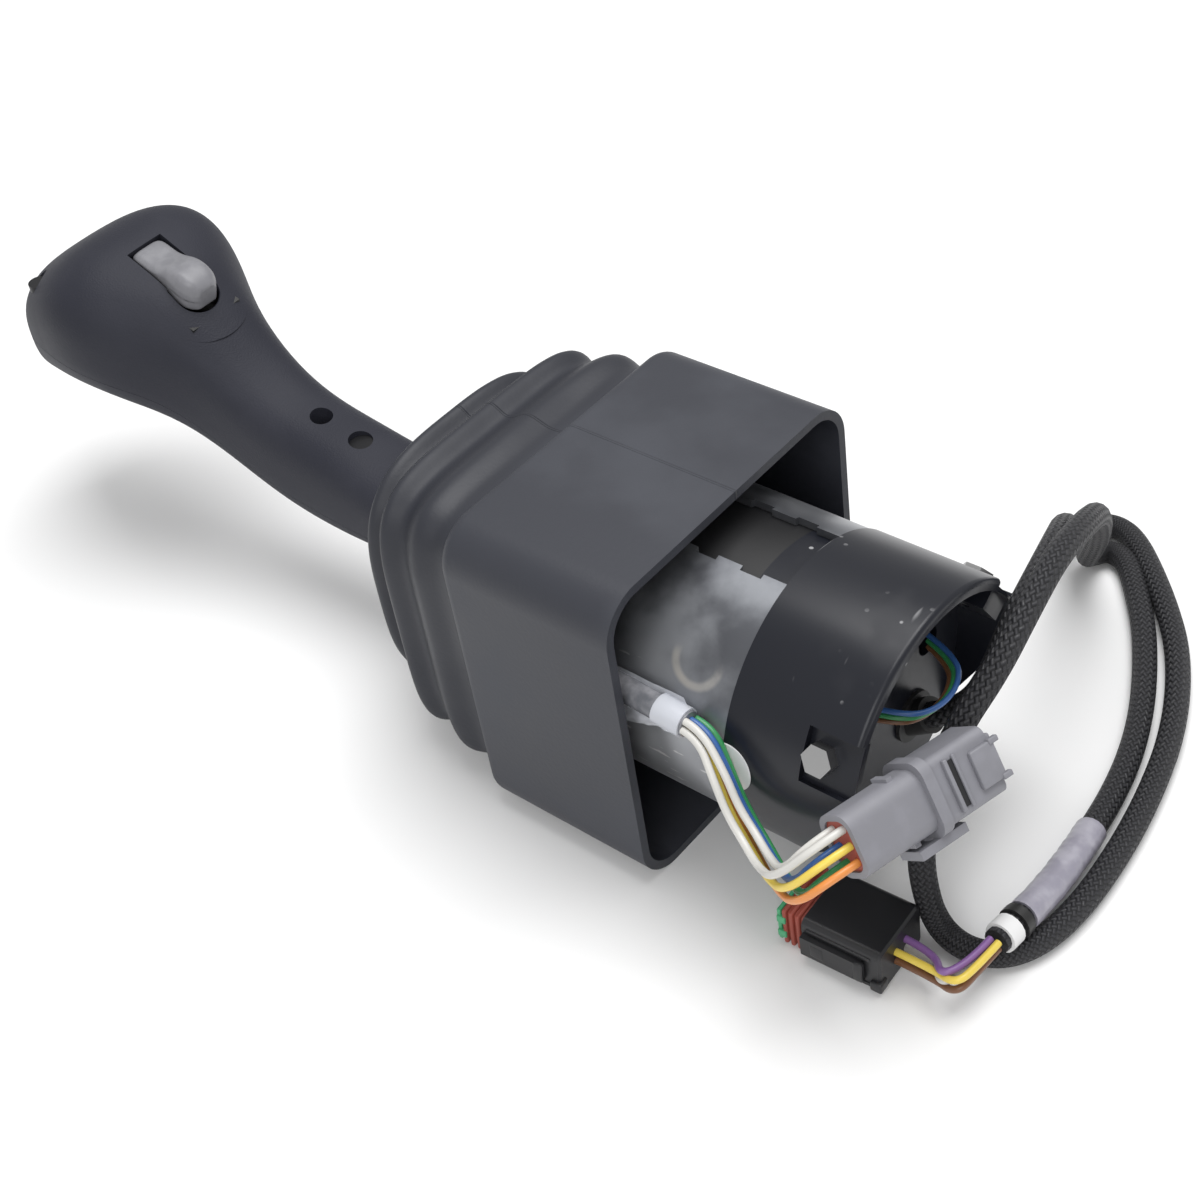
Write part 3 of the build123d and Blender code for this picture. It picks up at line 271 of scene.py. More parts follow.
def cap_plastic():
    """Black cup with fine pale scratches and specks."""
    finish = Finish("cap_plastic", (0.01, 0.011, 0.015), 0.3, Specular_IOR_Level=0.36)
    scratch = finish.split(finish.grain(260.0, 2.0, (1.0, 0.12, 0.3)), 0.7, 0.74)
    speck = finish.node("ShaderNodeTexVoronoi", {"feature": "F1"},
                        {"Vector": finish.place(), "Scale": 240.0})
    dust = 1 - finish.split(speck, 0.1, 0.16)
    patch = finish.split(finish.grain(38.0, 3.0), 0.56, 0.66)
    marks = (scratch * 0.4).most(dust * patch * 0.8)
    finish.set("Base Color", finish.blend(marks, (0.01, 0.011, 0.016), (0.42, 0.42, 0.43)))
    finish.set("Roughness", 0.3 + marks * 0.4 + patch * 0.12)
    return finish.material


# Strands of the braid round the cable, and turns that each makes along it
BRAID_STRANDS = 6
BRAID_TURNS = 190


def braid():
    """Braided sleeving: two crossing sets of flat strands round the lead, with faint glints."""
    finish = Finish("braid_black", (0.014, 0.014, 0.016), 0.55, Specular_IOR_Level=0.5)
    skin = finish.node("ShaderNodeTexCoord", output="UV")
    lean = finish.one_of(skin, 0) * (2 * pi * BRAID_TURNS)
    turn = finish.one_of(skin, 1) * (2 * pi * BRAID_STRANDS)
    left = (turn + lean).sine()
    right = (turn - lean).sine()
    over = (left * right).above(0.0)
    weave = left.size() * over + right.size() * (1 - over)
    glint = finish.split(finish.grain(1500.0, 1.0), 0.58, 0.7)
    finish.set("Base Color", finish.blend(weave, (0.004, 0.004, 0.005), (0.022, 0.022, 0.026)))
    finish.set("Roughness", 0.62 - weave * glint * 0.25)
    finish.bumps(weave, 0.9, 0.0005)
    return finish.material


def flecked(name, color, roughness, pale, scale):
    """A plain moulding, slightly uneven in colour."""
    finish = Finish(name, color, roughness)
    flecks = finish.split(finish.grain(scale), 0.4, 0.7)
    finish.set("Base Color", finish.blend(flecks, color, pale))
    return finish.material


def plain(name, color, roughness, metallic=0.0, **sockets):
    """A finish that is the same all over."""
    return Finish(name, color, roughness, metallic, **sockets).material


# Colour, roughness and metallic share of the finishes that are the same all over
PLAIN = {
    "flange_metal": ((0.03, 0.03, 0.033), 0.45, 0.0),
    "zinc_screws": ((0.4, 0.4, 0.4), 0.33, 1.0),
    "black_screws": ((0.02, 0.02, 0.022), 0.4, 0.6),
    "liner_plastic": ((0.008, 0.008, 0.009), 0.5, 0.0),
    "yoke_metal": ((0.16, 0.16, 0.17), 0.5, 0.8),
    "gimbal_steel": ((0.5, 0.5, 0.51), 0.28, 1.0),
    "bush_brass": ((0.62, 0.45, 0.2), 0.35, 1.0),
    "spring_steel": ((0.3, 0.3, 0.31), 0.35, 1.0),
    "magnet_metal": ((0.6, 0.6, 0.6), 0.2, 1.0),
    "holder_plastic": ((0.05, 0.05, 0.05), 0.5, 0.0),
    "board_green": ((0.02, 0.16, 0.07), 0.4, 0.0),
    "chip_black": ((0.02, 0.02, 0.02), 0.5, 0.0),
    "switch_black": ((0.012, 0.012, 0.012), 0.5, 0.0),
    "gland_rubber": ((0.02, 0.02, 0.02), 0.6, 0.0),
    "shrink_black": ((0.015, 0.015, 0.015), 0.4, 0.0),
    "label_white": ((0.72, 0.72, 0.72), 0.5, 0.0),
    "connector_black": ((0.014, 0.014, 0.016), 0.38, 0.0),
    "seal_red": ((0.3, 0.06, 0.04), 0.55, 0.0),
    "wedge_green": ((0.07, 0.36, 0.17), 0.4, 0.0),
}
# Colour, roughness, paler colour and scale of the flecks of the uneven ones
FLECKED = {
    "rocker_grey": ((0.17, 0.17, 0.185), 0.42, (0.2, 0.2, 0.215), 300.0),
    "shrink_clear": ((0.26, 0.25, 0.3), 0.28, (0.36, 0.35, 0.4), 160.0),
    "sleeve_clear": ((0.13, 0.135, 0.15), 0.18, (0.3, 0.3, 0.32), 160.0),
    "connector_grey": ((0.2, 0.2, 0.222), 0.5, (0.215, 0.215, 0.24), 200.0),
}
WIRE_COLOURS = {
    "white": (0.58, 0.57, 0.54), "yellow": (0.74, 0.56, 0.09), "orange": (0.68, 0.25, 0.06),
    "blue": (0.04, 0.12, 0.34), "green": (0.04, 0.26, 0.09), "brown": (0.17, 0.075, 0.035),
    "purple": (0.22, 0.11, 0.3),
}
WIRE_ROUGHNESS = 0.32
finishes = {
    "boot_rubber": boot_rubber(),
    "grip_plastic": grip_plastic(),
    "housing_steel": housing_steel(),
    "cap_plastic": cap_plastic(),
    "braid_black": braid(),
    "tape_grey": plain("tape_grey", (0.74, 0.76, 0.82), 0.22, Alpha=0.55),
}
finishes.update({name: plain(name, *values) for name, values in PLAIN.items()})
finishes.update({name: flecked(name, *values) for name, values in FLECKED.items()})
for colour, shade in WIRE_COLOURS.items():
    finishes["wire_" + colour] = plain("wire_" + colour, shade, WIRE_ROUGHNESS)

slot_of = {part["node"]: part["material_slot"] for part in frame["record"]["subparts"]}
body_of = {name: body for body, names in frame["record"]["behaviour"]["bodies"].items()
           for name in names}
for name, node in nodes.items():
    node.data.materials.clear()
    node.data.materials.append(finishes[slot_of[name]])


def show(name, mesh, body, slot_name, *stands_for):
    """Puts a finished mesh on its body, in its finish, in place of what it stands for."""
    piece = bpy.data.objects.new(name, mesh)
    bpy.context.scene.collection.objects.link(piece)
    mesh.materials.clear()
    mesh.materials.append(finishes[slot_name])
    if body:
        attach(piece, body)
    if stands_for:
        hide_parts(*stands_for)
    return piece


MERGE_DISTANCE = 0.00001
COPY_SHARP = radians(32)


def merged(name):
    """A CAD piece as a bmesh, with the corners that its faces share merged."""
    shape = bmesh.new()
    shape.from_mesh(nodes[name].data)
    bmesh.ops.remove_doubles(shape, verts=shape.verts, dist=MERGE_DISTANCE)
    return shape


def smooth_shape(shape, sharp_angle):
    """Shades a bmesh smooth, apart from its edges past an angle."""
    for face in shape.faces:
        face.smooth = True
    for edge in shape.edges:
        if len(edge.link_faces) == 2:
            edge.smooth = edge.calc_face_angle(0.0) < sharp_angle


def to_mesh(name, shape):
    """Ends a bmesh and keeps it as a mesh."""
    mesh = bpy.data.meshes.new(name)
    shape.to_mesh(mesh)
    shape.free()
    return mesh


def first_face(shape):
    """The face to judge by which way a bmesh looks."""
    shape.faces.ensure_lookup_table()
    return shape.faces[0]


def turn_out(shape, face, outward):
    """Turns all faces over if the given one looks inward."""
    if face.normal.dot(outward) < 0:
        bmesh.ops.reverse_faces(shape, faces=shape.faces)


def smooth_copy(name):
    """A CAD piece, merged and shaded smooth."""
    shape = merged(name)
    smooth_shape(shape, COPY_SHARP)
    return show(name + "_shown", to_mesh(name + "_shown", shape), body_of[name],
                slot_of[name], name)


shown = {name: smooth_copy(name) for name in (
    "boot_skirt", "grip_front", "grip_rear", "housing_tube", "end_cap", "inner_liner",
    "cable_gland", "grey_receptacle", "grey_plug", "grey_seal", "tape_flag", "cap_screws",
    "grip_screws", "lever_shaft", "boot_ring", "gimbal_ring", "gimbal_yoke")}


class Place:
    """A flat working place on the stick: its origin, its two edges and its outward way."""

    def __init__(self, origin, first, outward):
        self.origin = Vector(origin)
        self.outward = Vector(outward).normalized()
        first = Vector(first)
        self.first = (first - self.outward * first.dot(self.outward)).normalized()
        self.second = self.outward.cross(self.first)

    def at(self, a, b, c):
        """Millimetres along the first edge, the second edge and outward."""
        return row(*(self.origin + self.first * a + self.second * b + self.outward * c))

    def inside(self, point):
        """The same three lengths, in millimetres, of a point of the shared frame."""
        offset = point * 1000 - RIM_PLACE - self.origin
        return offset.dot(self.first), offset.dot(self.second), offset.dot(self.outward)


def block(place, low, high, edge=0.0):
    """A box from one corner to another, with softened edges, as a bmesh."""
    shape = bmesh.new()
    bmesh.ops.create_cube(shape, size=1.0)
    size = [b - a for a, b in zip(low, high)]
    for vertex in shape.verts:
        vertex.co = Vector([a + (x + 0.5) * s for a, x, s in zip(low, vertex.co, size)])
    if edge:
        bmesh.ops.bevel(shape, geom=shape.edges, offset=edge, segments=3,
                        affect="EDGES", profile=0.5)
    for vertex in shape.verts:
        vertex.co = place.at(*vertex.co)
    bmesh.ops.recalc_face_normals(shape, faces=shape.faces)
    return shape


def joined(name, shapes, body, slot_name, *stands_for, sharp=radians(35)):
    """One piece made of several bmeshes, which end here."""
    whole = bmesh.new()
    for shape in shapes:
        part = to_mesh("part", shape)
        whole.from_mesh(part)
        bpy.data.meshes.remove(part)
    smooth_shape(whole, sharp)
    return show(name, to_mesh(name, whole), body, slot_name, *stands_for)


# Rocker: a paddle, flat at the far end, that swells into a round thumb rest at the near one
ROCKER_LEAN = radians(19.2)
rocker_place = Place((-197.0, 0.0, 48.8), (cos(ROCKER_LEAN), 0, -sin(ROCKER_LEAN)),
                     (sin(ROCKER_LEAN), 0, cos(ROCKER_LEAN)))
PADDLE_START, PADDLE_END = -12.8, 13.3
PADDLE_HALF = 5.5
PADDLE_DEPTH = 5.0
PADDLE_CORNER = 1.6
PADDLE_SMOOTHINGS = 5
FLAT_HEIGHT, SWELL_HEIGHT, END_DROP = 0.5, 4.3, 2.6
RISE_START, RISE_RUN = -5.0, 10.5
DROP_START, DROP_RUN = 6.0, 7.5
WIDEN_RUN = 6.0
REST_RADIUS = 6.1
REST_MIDDLE = 7.4
ROUNDING = 2.6
ROUNDING_SPARE = 0.7


def ease(value, start, run):
    """Rises smoothly from 0 to 1 over a run."""
    part = min(max((value - start) / run, 0.0), 1.0)
    return part * part * (3 - 2 * part)


def paddle_height(a):
    """Height of the rocker's middle line above its opening."""
    rise = ease(a, RISE_START, RISE_RUN)
    drop = max(0.0, (a - DROP_START) / DROP_RUN)
    return FLAT_HEIGHT + SWELL_HEIGHT * rise - END_DROP * drop ** ROUNDING


def paddle_half(a):
    """Half the rocker's width: even, wider at the thumb rest, and rounded off at its end."""
    half = PADDLE_HALF + (REST_RADIUS - PADDLE_HALF) * ease(a, 0.0, WIDEN_RUN)
    if a > REST_MIDDLE:
        past = (a - REST_MIDDLE) / (PADDLE_END - REST_MIDDLE + ROUNDING_SPARE)
        half *= max(0.0, 1 - past ** ROUNDING) ** 0.5
    return half


def rocker_paddle():
    """A block cut into a grid, drawn out to the paddle's plan and swollen at its near end."""
    shape = bmesh.new()
    bmesh.ops.create_cube(shape, size=2.0)
    bmesh.ops.subdivide_edges(shape, edges=shape.edges, cuts=23, use_grid_fill=True)
    for vertex in shape.verts:
        x, y, z = vertex.co
        a = PADDLE_START + (x + 1) / 2 * (PADDLE_END - PADDLE_START)
        swell = min(max(a / WIDEN_RUN, 0.0), 1.0)
        corner = max(0.0, (PADDLE_START + PADDLE_CORNER - a) / PADDLE_CORNER)
        half = paddle_half(a) - 1.1 * corner ** 2
        crown = 1 - abs(y) ** 6 * (0.22 + 0.14 * swell) if z > 0 else 1.0
        edge = 1 - 0.35 * corner ** 3
        thick = (paddle_height(a) + PADDLE_DEPTH) * (z + 1) / 2
        vertex.co = rocker_place.at(a, y * half, thick * crown * edge - PADDLE_DEPTH)
    bmesh.ops.recalc_face_normals(shape, faces=shape.faces)
    for _ in range(PADDLE_SMOOTHINGS):
        bmesh.ops.smooth_vert(shape, verts=shape.verts, factor=0.5, use_axis_x=True,
                              use_axis_y=True, use_axis_z=True)
    joined("rocker_paddle", [shape], "rocker", "rocker_grey", "rocker_button",
           sharp=radians(80))


rocker_paddle()

# Where the switch's cup stops below the grip's face, and the share of its height left above that
CUP_TOP = -7.0
CUP_SQUASH = 0.1


def switch_cup():
    """The cup under the rocker, pressed down clear of the thumb scoop."""
    shape = merged("switch_body")
    for vertex in shape.verts:
        a, b, c = rocker_place.inside(vertex.co)
        if c > CUP_TOP:
            vertex.co = rocker_place.at(a, b, CUP_TOP + (c - CUP_TOP) * CUP_SQUASH)
    joined("switch_cup", [shape], "lever", "switch_black", "switch_body")


switch_cup()

# Surround of the rocker's near end: the grip's face and the thumb scoop, up to the thumb rest
SCOOP_MIDDLE, SCOOP_RADIUS, SCOOP_RISE = 17.5, 11.0, 7.8
SURROUND_START = 1.0
SURROUND_LIP = 7.15
LIP_TUCK = 0.45
SURROUND_SIDE, SURROUND_CORNER, SURROUND_TIP = 12.45, 12.0, 15.5
SURROUND_WALL = 4.0
WALL_SHARE = 0.1
SURROUND_ABOVE = 0.06
FACE_NEAR, FACE_FAR = 9.4, 12.4
FACE_POWER = 2.7
LOOK_FROM = 25.0


def grip_face():
    """The height of the grip's face over the rocker's place, found beside the opening."""
    shape = bmesh.new()
    for name in ("grip_front", "grip_rear"):
        shape.from_mesh(nodes[name].data)
    tree = bvhtree.BVHTree.FromBMesh(shape)
    shape.free()
    inward = -rocker_place.outward
    ratio = (FACE_FAR / FACE_NEAR) ** FACE_POWER

    def seen(a, b):
        hit = tree.ray_cast(rocker_place.at(a, b, LOOK_FROM), inward)[0]
        return rocker_place.inside(hit)[2]

    def height(a, b):
        close = (seen(a, FACE_NEAR) + seen(a, -FACE_NEAR)) / 2
        wide = (seen(a, FACE_FAR) + seen(a, -FACE_FAR)) / 2
        fall = (close - wide) / (ratio - 1)
        return close + fall * (1 - abs(b / FACE_NEAR) ** FACE_POWER)

    return height


def rocker_surround():
    """A band round the thumb rest, from its lip out over the grip's face, with a wall down."""
    face_height = grip_face()
    shape = bmesh.new()
    bmesh.ops.create_grid(shape, x_segments=96, y_segments=22, size=1.0)
    straight = REST_MIDDLE - SURROUND_START
    quarter = SURROUND_LIP * pi / 2
    for vertex in shape.verts:
        run = abs(vertex.co.x) * (straight + quarter)
        side = 1.0 if vertex.co.x > 0 else -1.0
        part = (vertex.co.y + 1) / 2
        spread = max(part - WALL_SHARE, 0.0) / (1 - WALL_SHARE)
        if run > quarter:
            a = REST_MIDDLE - (run - quarter)
            b = side * (SURROUND_LIP - LIP_TUCK + (SURROUND_SIDE - SURROUND_LIP) * spread)
        else:
            turn = run / SURROUND_LIP
            sideways = sin(turn) ** 4
            lip = SURROUND_LIP - LIP_TUCK * sideways ** 2
            far = SURROUND_CORNER * sideways + SURROUND_TIP * (1 - sideways)
            reach = lip + (far - lip) * spread
            a, b = REST_MIDDLE + reach * cos(turn), side * reach * sin(turn)
        bowl = SCOOP_RADIUS ** 2 - (a - SCOOP_MIDDLE) ** 2 - b * b
        skin = face_height(a, b)
        if bowl > 0:
            skin = min(skin, SCOOP_RISE - bowl ** 0.5)
        wall = max(WALL_SHARE - part, 0.0) / WALL_SHARE * SURROUND_WALL
        vertex.co = rocker_place.at(a, b, skin + SURROUND_ABOVE - wall)
    bmesh.ops.recalc_face_normals(shape, faces=shape.faces)
    outward = rocker_place.outward
    turn_out(shape, max(shape.faces, key=lambda face: abs(face.normal.dot(outward))), outward)
    joined("rocker_surround", [shape], "lever", "grip_plastic", sharp=radians(50))


rocker_surround()

# Black plug: housing, nose with its ribbed seal, and the green wedge on its face
BLACK_PLUG_PLACE = Vector((37.0, -34.0, -40.0))
BLACK_PLUG_TURN = radians(3.0)
plug_place = Place(BLACK_PLUG_PLACE, (-sin(BLACK_PLUG_TURN), cos(BLACK_PLUG_TURN), 0.0),
                   (cos(BLACK_PLUG_TURN), sin(BLACK_PLUG_TURN), 0.0))
NOSE_LENGTH = 7.6
RIB_PLACES = (1.3, 3.2, 5.1)
RIB_WIDTH = 1.25


def black_housing():
    """The plug's housing, cut back behind its nose, with the latch, its rails and its lip."""
    shape = merged("black_plug")
    for vertex in shape.verts:
        a, b, c = plug_place.inside(vertex.co)
        if c < NOSE_LENGTH:
            vertex.co = plug_place.at(a, b, NOSE_LENGTH)
    nose = block(plug_place, (-7.0, -4.6, 0.6), (7.0, 4.6, 12.0), 0.8)
    rails = [block(plug_place, (-9.9, side - 0.5, 9.0), (-8.9, side + 0.5, 26.5), 0.25)
             for side in (-4.6, 4.6)]
    ramp = block(plug_place, (-11.3, -2.2, 10.5), (-9.9, 2.2, 14.5), 0.5)
    lip = block(plug_place, (-11.3, -3.2, 22.5), (-9.6, 3.2, 25.0), 0.4)
    foot = block(plug_place, (-10.4, -5.6, 26.4), (-7.0, -2.4, 29.6), 0.5)
    return joined("black_housing", [shape, nose, *rails, ramp, lip, foot], "base",
                  "connector_black", "black_plug")


def ribbed_seal():
    """Red seal round the nose: a flat band with three rounded ribs."""
    shapes = [block(plug_place, (-7.6, -5.2, 0.9), (7.6, 5.2, NOSE_LENGTH - 0.3), 1.0)]
    for start in RIB_PLACES:
        shapes.append(block(plug_place, (-8.5, -6.1, start), (8.5, 6.1, start + RIB_WIDTH), 0.55))
    return joined("ribbed_seal", shapes, "base", "seal_red", "black_seal")


def face_wedge():
    """Green wedge on the face of the nose, with two tabs along one side."""
    plate = block(plug_place, (-8.3, -5.4, -0.2), (8.3, 5.4, 0.9), 0.35)
    tabs = [block(plug_place, (-8.9, side - 1.1, 0.0), (-7.7, side + 1.1, 2.4), 0.3)
            for side in (-2.6, 2.6)]
    return joined("face_wedge", [plate, *tabs], "base", "wedge_green", "green_wedge")


plug_pieces = [black_housing(), ribbed_seal(), face_wedge()]


def grey_clip():
    """The connector's mounting tab, in the connector's own grey."""
    return joined("grey_clip", [merged("connector_clip")], "base", "connector_grey",
                  "connector_clip")


tab = grey_clip()

# The grey connector: the middle of its red seal, its wide way and its way from seal to latch
SEAL_PLACE = Vector((64.0, -49.0, 12.0))
SEAL_AXIS = Vector((0.206, 0.975, -0.089)).normalized()
grey_place = Place(SEAL_PLACE, (0.6, 0.0, -0.8), SEAL_AXIS)


def connector_relief():
    """Two raised ridges, the latch and the stepped end of the grey connector."""
    shapes = [
        block(grey_place, (-6.4, -7.5, 27.2), (6.4, -6.1, 28.3), 0.3),
        block(grey_place, (-6.4, -7.1, 30.2), (6.4, -6.1, 31.0), 0.3),
        block(grey_place, (-4.6, -7.6, 34.5), (4.6, -6.0, 41.6), 0.5),
        block(grey_place, (-5.4, -4.8, 40.6), (5.4, 3.6, 43.4), 0.6),
        block(grey_place, (-5.0, -7.9, 40.2), (-3.6, -6.4, 43.0), 0.3),
        block(grey_place, (3.6, -7.9, 40.2), (5.0, -6.4, 43.0), 0.3),
    ]
    joined("connector_relief", shapes, "base", "connector_grey")


def connector_slot():
    """The dark slot between the ridges."""
    joined("connector_slot", [block(grey_place, (-5.6, -6.6, 28.3), (5.6, -6.0, 30.2))],
           "base", "connector_black")


connector_relief()
connector_slot()


# The tube's radius, how far the tape and the sticker lie from its axis, and the tape's creases
TUBE_RADIUS = 38.0
TAPE_OUT = 39.4
STICKER_OUT = 38.5
TAPE_CREASES = (1.1, 0.5)


def loose_tape():
    """A crumpled end of clear tape below the sleeve: a grid, bent round the tube and creased."""
    shape = bmesh.new()
    bmesh.ops.create_grid(shape, x_segments=70, y_segments=40, size=1.0)
    for vertex in shape.verts:
        u, v = (vertex.co.x + 1) / 2, (vertex.co.y + 1) / 2
        along = -21.0 + 33.0 * u + 2.0 * sin(5.0 * v) * u
        front = 17.5 - (13.5 + 3.0 * sin(4.0 * u + 1.0)) * v
        crease = noise.noise(Vector((u * 5.0, v * 3.0, 0.0))) * TAPE_CREASES[0]
        crease += noise.noise(Vector((u * 13.0, v * 9.0, 4.0))) * TAPE_CREASES[1]
        bearing = atan2(-(TUBE_RADIUS ** 2 - front ** 2) ** 0.5, front)
        out = TAPE_OUT + 1.2 * sin(3.1 * v) + crease * (0.3 + 0.7 * v) + 2.2 * (1 - v) ** 4
        vertex.co = row(along, out * sin(bearing), out * cos(bearing))
    bmesh.ops.recalc_face_normals(shape, faces=shape.faces)
    turn_out(shape, first_face(shape), Vector((0, -1, 0)))
    joined("loose_tape", [shape], "base", "tape_grey", sharp=radians(70))


loose_tape()

# Boot folds, as moulded: each ring's height up the stick, half width and squareness
FOLD_RINGS = (
    (53.0, 43.5, 7.0), (58.5, 43.0, 7.0), (65.5, 44.5, 6.0), (73.0, 41.0, 5.5),
    (79.5, 43.0, 4.8), (86.0, 35.0, 4.0), (92.5, 37.0, 3.2), (101.0, 22.0, 2.4),
    (106.0, 17.0, 2.7), (109.0, 17.0, 2.7),
)
FOLD_SPLIT = 79.5
FOLD_WALL = 1.8
COLLAR_START, COLLAR_RUN = 95.0, 10.0
COLLAR_FLATNESS = 1.8
FOLD_SEGMENTS = 216
RINGS_PER_MM = 1.5


def along_rings(height):
    """Half width and squareness at a height, on a smooth curve through the rings."""
    index = max(k for k, ring in enumerate(FOLD_RINGS[:-1]) if ring[0] <= height)
    low, high = FOLD_RINGS[index], FOLD_RINGS[index + 1]
    before = FOLD_RINGS[max(index - 1, 0)]
    after = FOLD_RINGS[min(index + 2, len(FOLD_RINGS) - 1)]
    span = high[0] - low[0]
    part = (height - low[0]) / span
    values = []
    for k in (1, 2):
        leave = (high[k] - before[k]) / (high[0] - before[0]) * span
        arrive = (after[k] - low[k]) / (after[0] - low[0]) * span
        values.append((2 * part ** 3 - 3 * part ** 2 + 1) * low[k]
                      + (part ** 3 - 2 * part ** 2 + part) * leave
                      + (3 * part ** 2 - 2 * part ** 3) * high[k]
                      + (part ** 3 - part ** 2) * arrive)
    return values


def fold_place(angle, height):
    """A place on the outside of the folds: round the stick by an angle, up it by a height."""
    half, squareness = along_rings(height)
    collar = min(max((height - COLLAR_START) / COLLAR_RUN, 0.0), 1.0) * COLLAR_FLATNESS
    reach = (abs(cos(angle) / (half - collar)) ** squareness
             + abs(sin(angle) / (half + collar * 0.2)) ** squareness) ** (-1 / squareness)
    return row_up(reach * cos(angle), reach * sin(angle), height)


def fold_piece(name, low, high):
    """Half of the folds: a tube, cut into rings and shaped."""
    shape = bmesh.new()
    bmesh.ops.create_cone(shape, cap_ends=False, segments=FOLD_SEGMENTS, radius1=1.0,
                          radius2=1.0, depth=1.0)
    upright = [edge for edge in shape.edges
               if abs(edge.verts[0].co.z - edge.verts[1].co.z) > 0.5]
    bmesh.ops.subdivide_edges(shape, edges=upright, cuts=int((high - low) * RINGS_PER_MM))
    for vertex in shape.verts:
        angle = atan2(vertex.co.y, vertex.co.x)
        vertex.co = fold_place(angle, low + (vertex.co.z + 0.5) * (high - low))
    bmesh.ops.recalc_face_normals(shape, faces=shape.faces)
    for face in shape.faces:
        face.smooth = True
    outward = first_face(shape).calc_center_median() - row_up(0, 0, low)
    outward.x = 0
    turn_out(shape, first_face(shape), outward)
    piece = show(name, to_mesh(name, shape), None, "boot_rubber", "boot_bellows")
    wall = piece.modifiers.new("wall", "SOLIDIFY")
    wall.thickness = FOLD_WALL / 1000
    wall.offset = -1.0
    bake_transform(piece)


fold_piece("lower_folds", FOLD_RINGS[0][0], FOLD_SPLIT)
fold_piece("upper_folds", FOLD_SPLIT, FOLD_RINGS[-1][0])

# Leads: each route is the row of places that a smooth curve follows
CABLE_ROUTE = [
    (45.41, 14.0, -12.56), (54.83, 14.0, -5.96), (60.0, 18.0, 6.0), (61.0, 25.0, 17.0),
    (60.5, 38.0, 23.0), (56.0, 55.0, 20.0), (48.5, 71.0, 8.0), (41.0, 88.0, -9.4),
    (32.0, 102.0, -24.0), (26.0, 113.0, -35.5), (24.5, 121.0, -42.0),
    (27.0, 128.0, FLOOR_LEVEL), (34.0, 130.5, FLOOR_LEVEL), (41.5, 126.5, FLOOR_LEVEL),
    (50.5, 118.0, FLOOR_LEVEL), (61.0, 106.7, FLOOR_LEVEL), (70.4, 94.7, FLOOR_LEVEL),
    (78.8, 79.2, FLOOR_LEVEL), (84.9, 63.2, FLOOR_LEVEL), (88.6, 47.8, FLOOR_LEVEL),
    (91.0, 33.6, FLOOR_LEVEL), (92.4, 19.3, FLOOR_LEVEL), (92.8, 4.6, FLOOR_LEVEL),
    (91.0, -9.0, FLOOR_LEVEL), (86.0, -18.5, FLOOR_LEVEL), (78.0, -22.0, -43.3),
    (70.0, -21.0, -42.5), (65.2, -20.0, -35.0), (62.2, -18.0, -21.0), (61.8, -12.0, -7.0),
    (63.0, -3.0, 6.5), (67.0, 8.0, 19.0), (67.5, 20.0, 28.0), (66.0, 35.0, 32.0),
    (64.0, 50.0, 29.0), (60.0, 64.0, 21.0), (54.0, 78.0, 8.0), (48.5, 90.0, -7.0),
    (42.0, 100.5, -23.0), (36.0, 107.5, -36.0), (33.0, 114.0, -42.3),
    (36.0, 120.0, FLOOR_LEVEL), (42.5, 118.5, FLOOR_LEVEL), (50.0, 109.5, FLOOR_LEVEL),
    (59.0, 97.5, FLOOR_LEVEL), (67.2, 83.0, FLOOR_LEVEL), (74.2, 68.0, FLOOR_LEVEL),
    (79.2, 53.0, FLOOR_LEVEL), (82.2, 38.0, -43.0), (84.0, 24.0, -41.5),
    (85.4, 11.0, -39.5), (86.2, -3.0, -37.5), (85.0, -21.3, -35.5),
]
SLEEVE_SIZE = 6.6
SLEEVE_ROUTE = [(-45.1, -38.9, 16.0), (-22.0, -38.9, 16.0), (-2.0, -39.2, 15.4),
                (15.0, -39.7, 14.5)]
PLUG_WIRE_SIZE = 1.9
HANDLE_WIRE_SIZE = 1.9
CAP_WIRE_SIZE = 1.4
CURVE_CUTS = 24


def drawn_line(points):
    """Places along the smooth curve that a route draws, in metres."""
    places = [row(*point) for point in points]
    joints = [(a + b) / 2 for a, b in zip(places[1:-2], places[2:-1])]
    line = [places[0]]
    for start, corner, end in zip([places[0], *joints], places[1:-1], [*joints, places[-1]]):
        for step in range(1, CURVE_CUTS + 1):
            part = step / CURVE_CUTS
            line.append(start * (1 - part) ** 2 + corner * 2 * part * (1 - part)
                        + end * part ** 2)
    return line


def drawn_length(points):
    """Length of the smooth curve that a route draws, in metres."""
    line = drawn_line(points)
    return sum((b - a).length for a, b in zip(line, line[1:]))


def tail_line(points, start, stop):
    """The part of a route's curve between two lengths back from its end, in millimetres."""
    line = drawn_line(points)[::-1]
    kept, gone = [], 0.0
    for here, beyond in zip(line, line[1:]):
        if start <= gone * 1000 <= stop:
            kept.append(here)
        gone += (beyond - here).length
    return kept


def round_curve(name, size, resolution):
    """An empty curve that is drawn as a round rod, closed at its ends."""
    curve = bpy.data.curves.new(name, "CURVE")
    curve.dimensions = "3D"
    curve.bevel_depth = size / 2000
    curve.bevel_resolution = resolution
    curve.use_fill_caps = True
    return curve


def show_curve(curve, node):
    """Puts a finished curve on the base, in place of its CAD piece and in that piece's finish."""
    piece = bpy.data.objects.new(curve.name, curve)
    bpy.context.scene.collection.objects.link(piece)
    curve.materials.append(finishes[slot_of[node]])
    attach(piece, "base")
    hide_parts(node)
    return piece


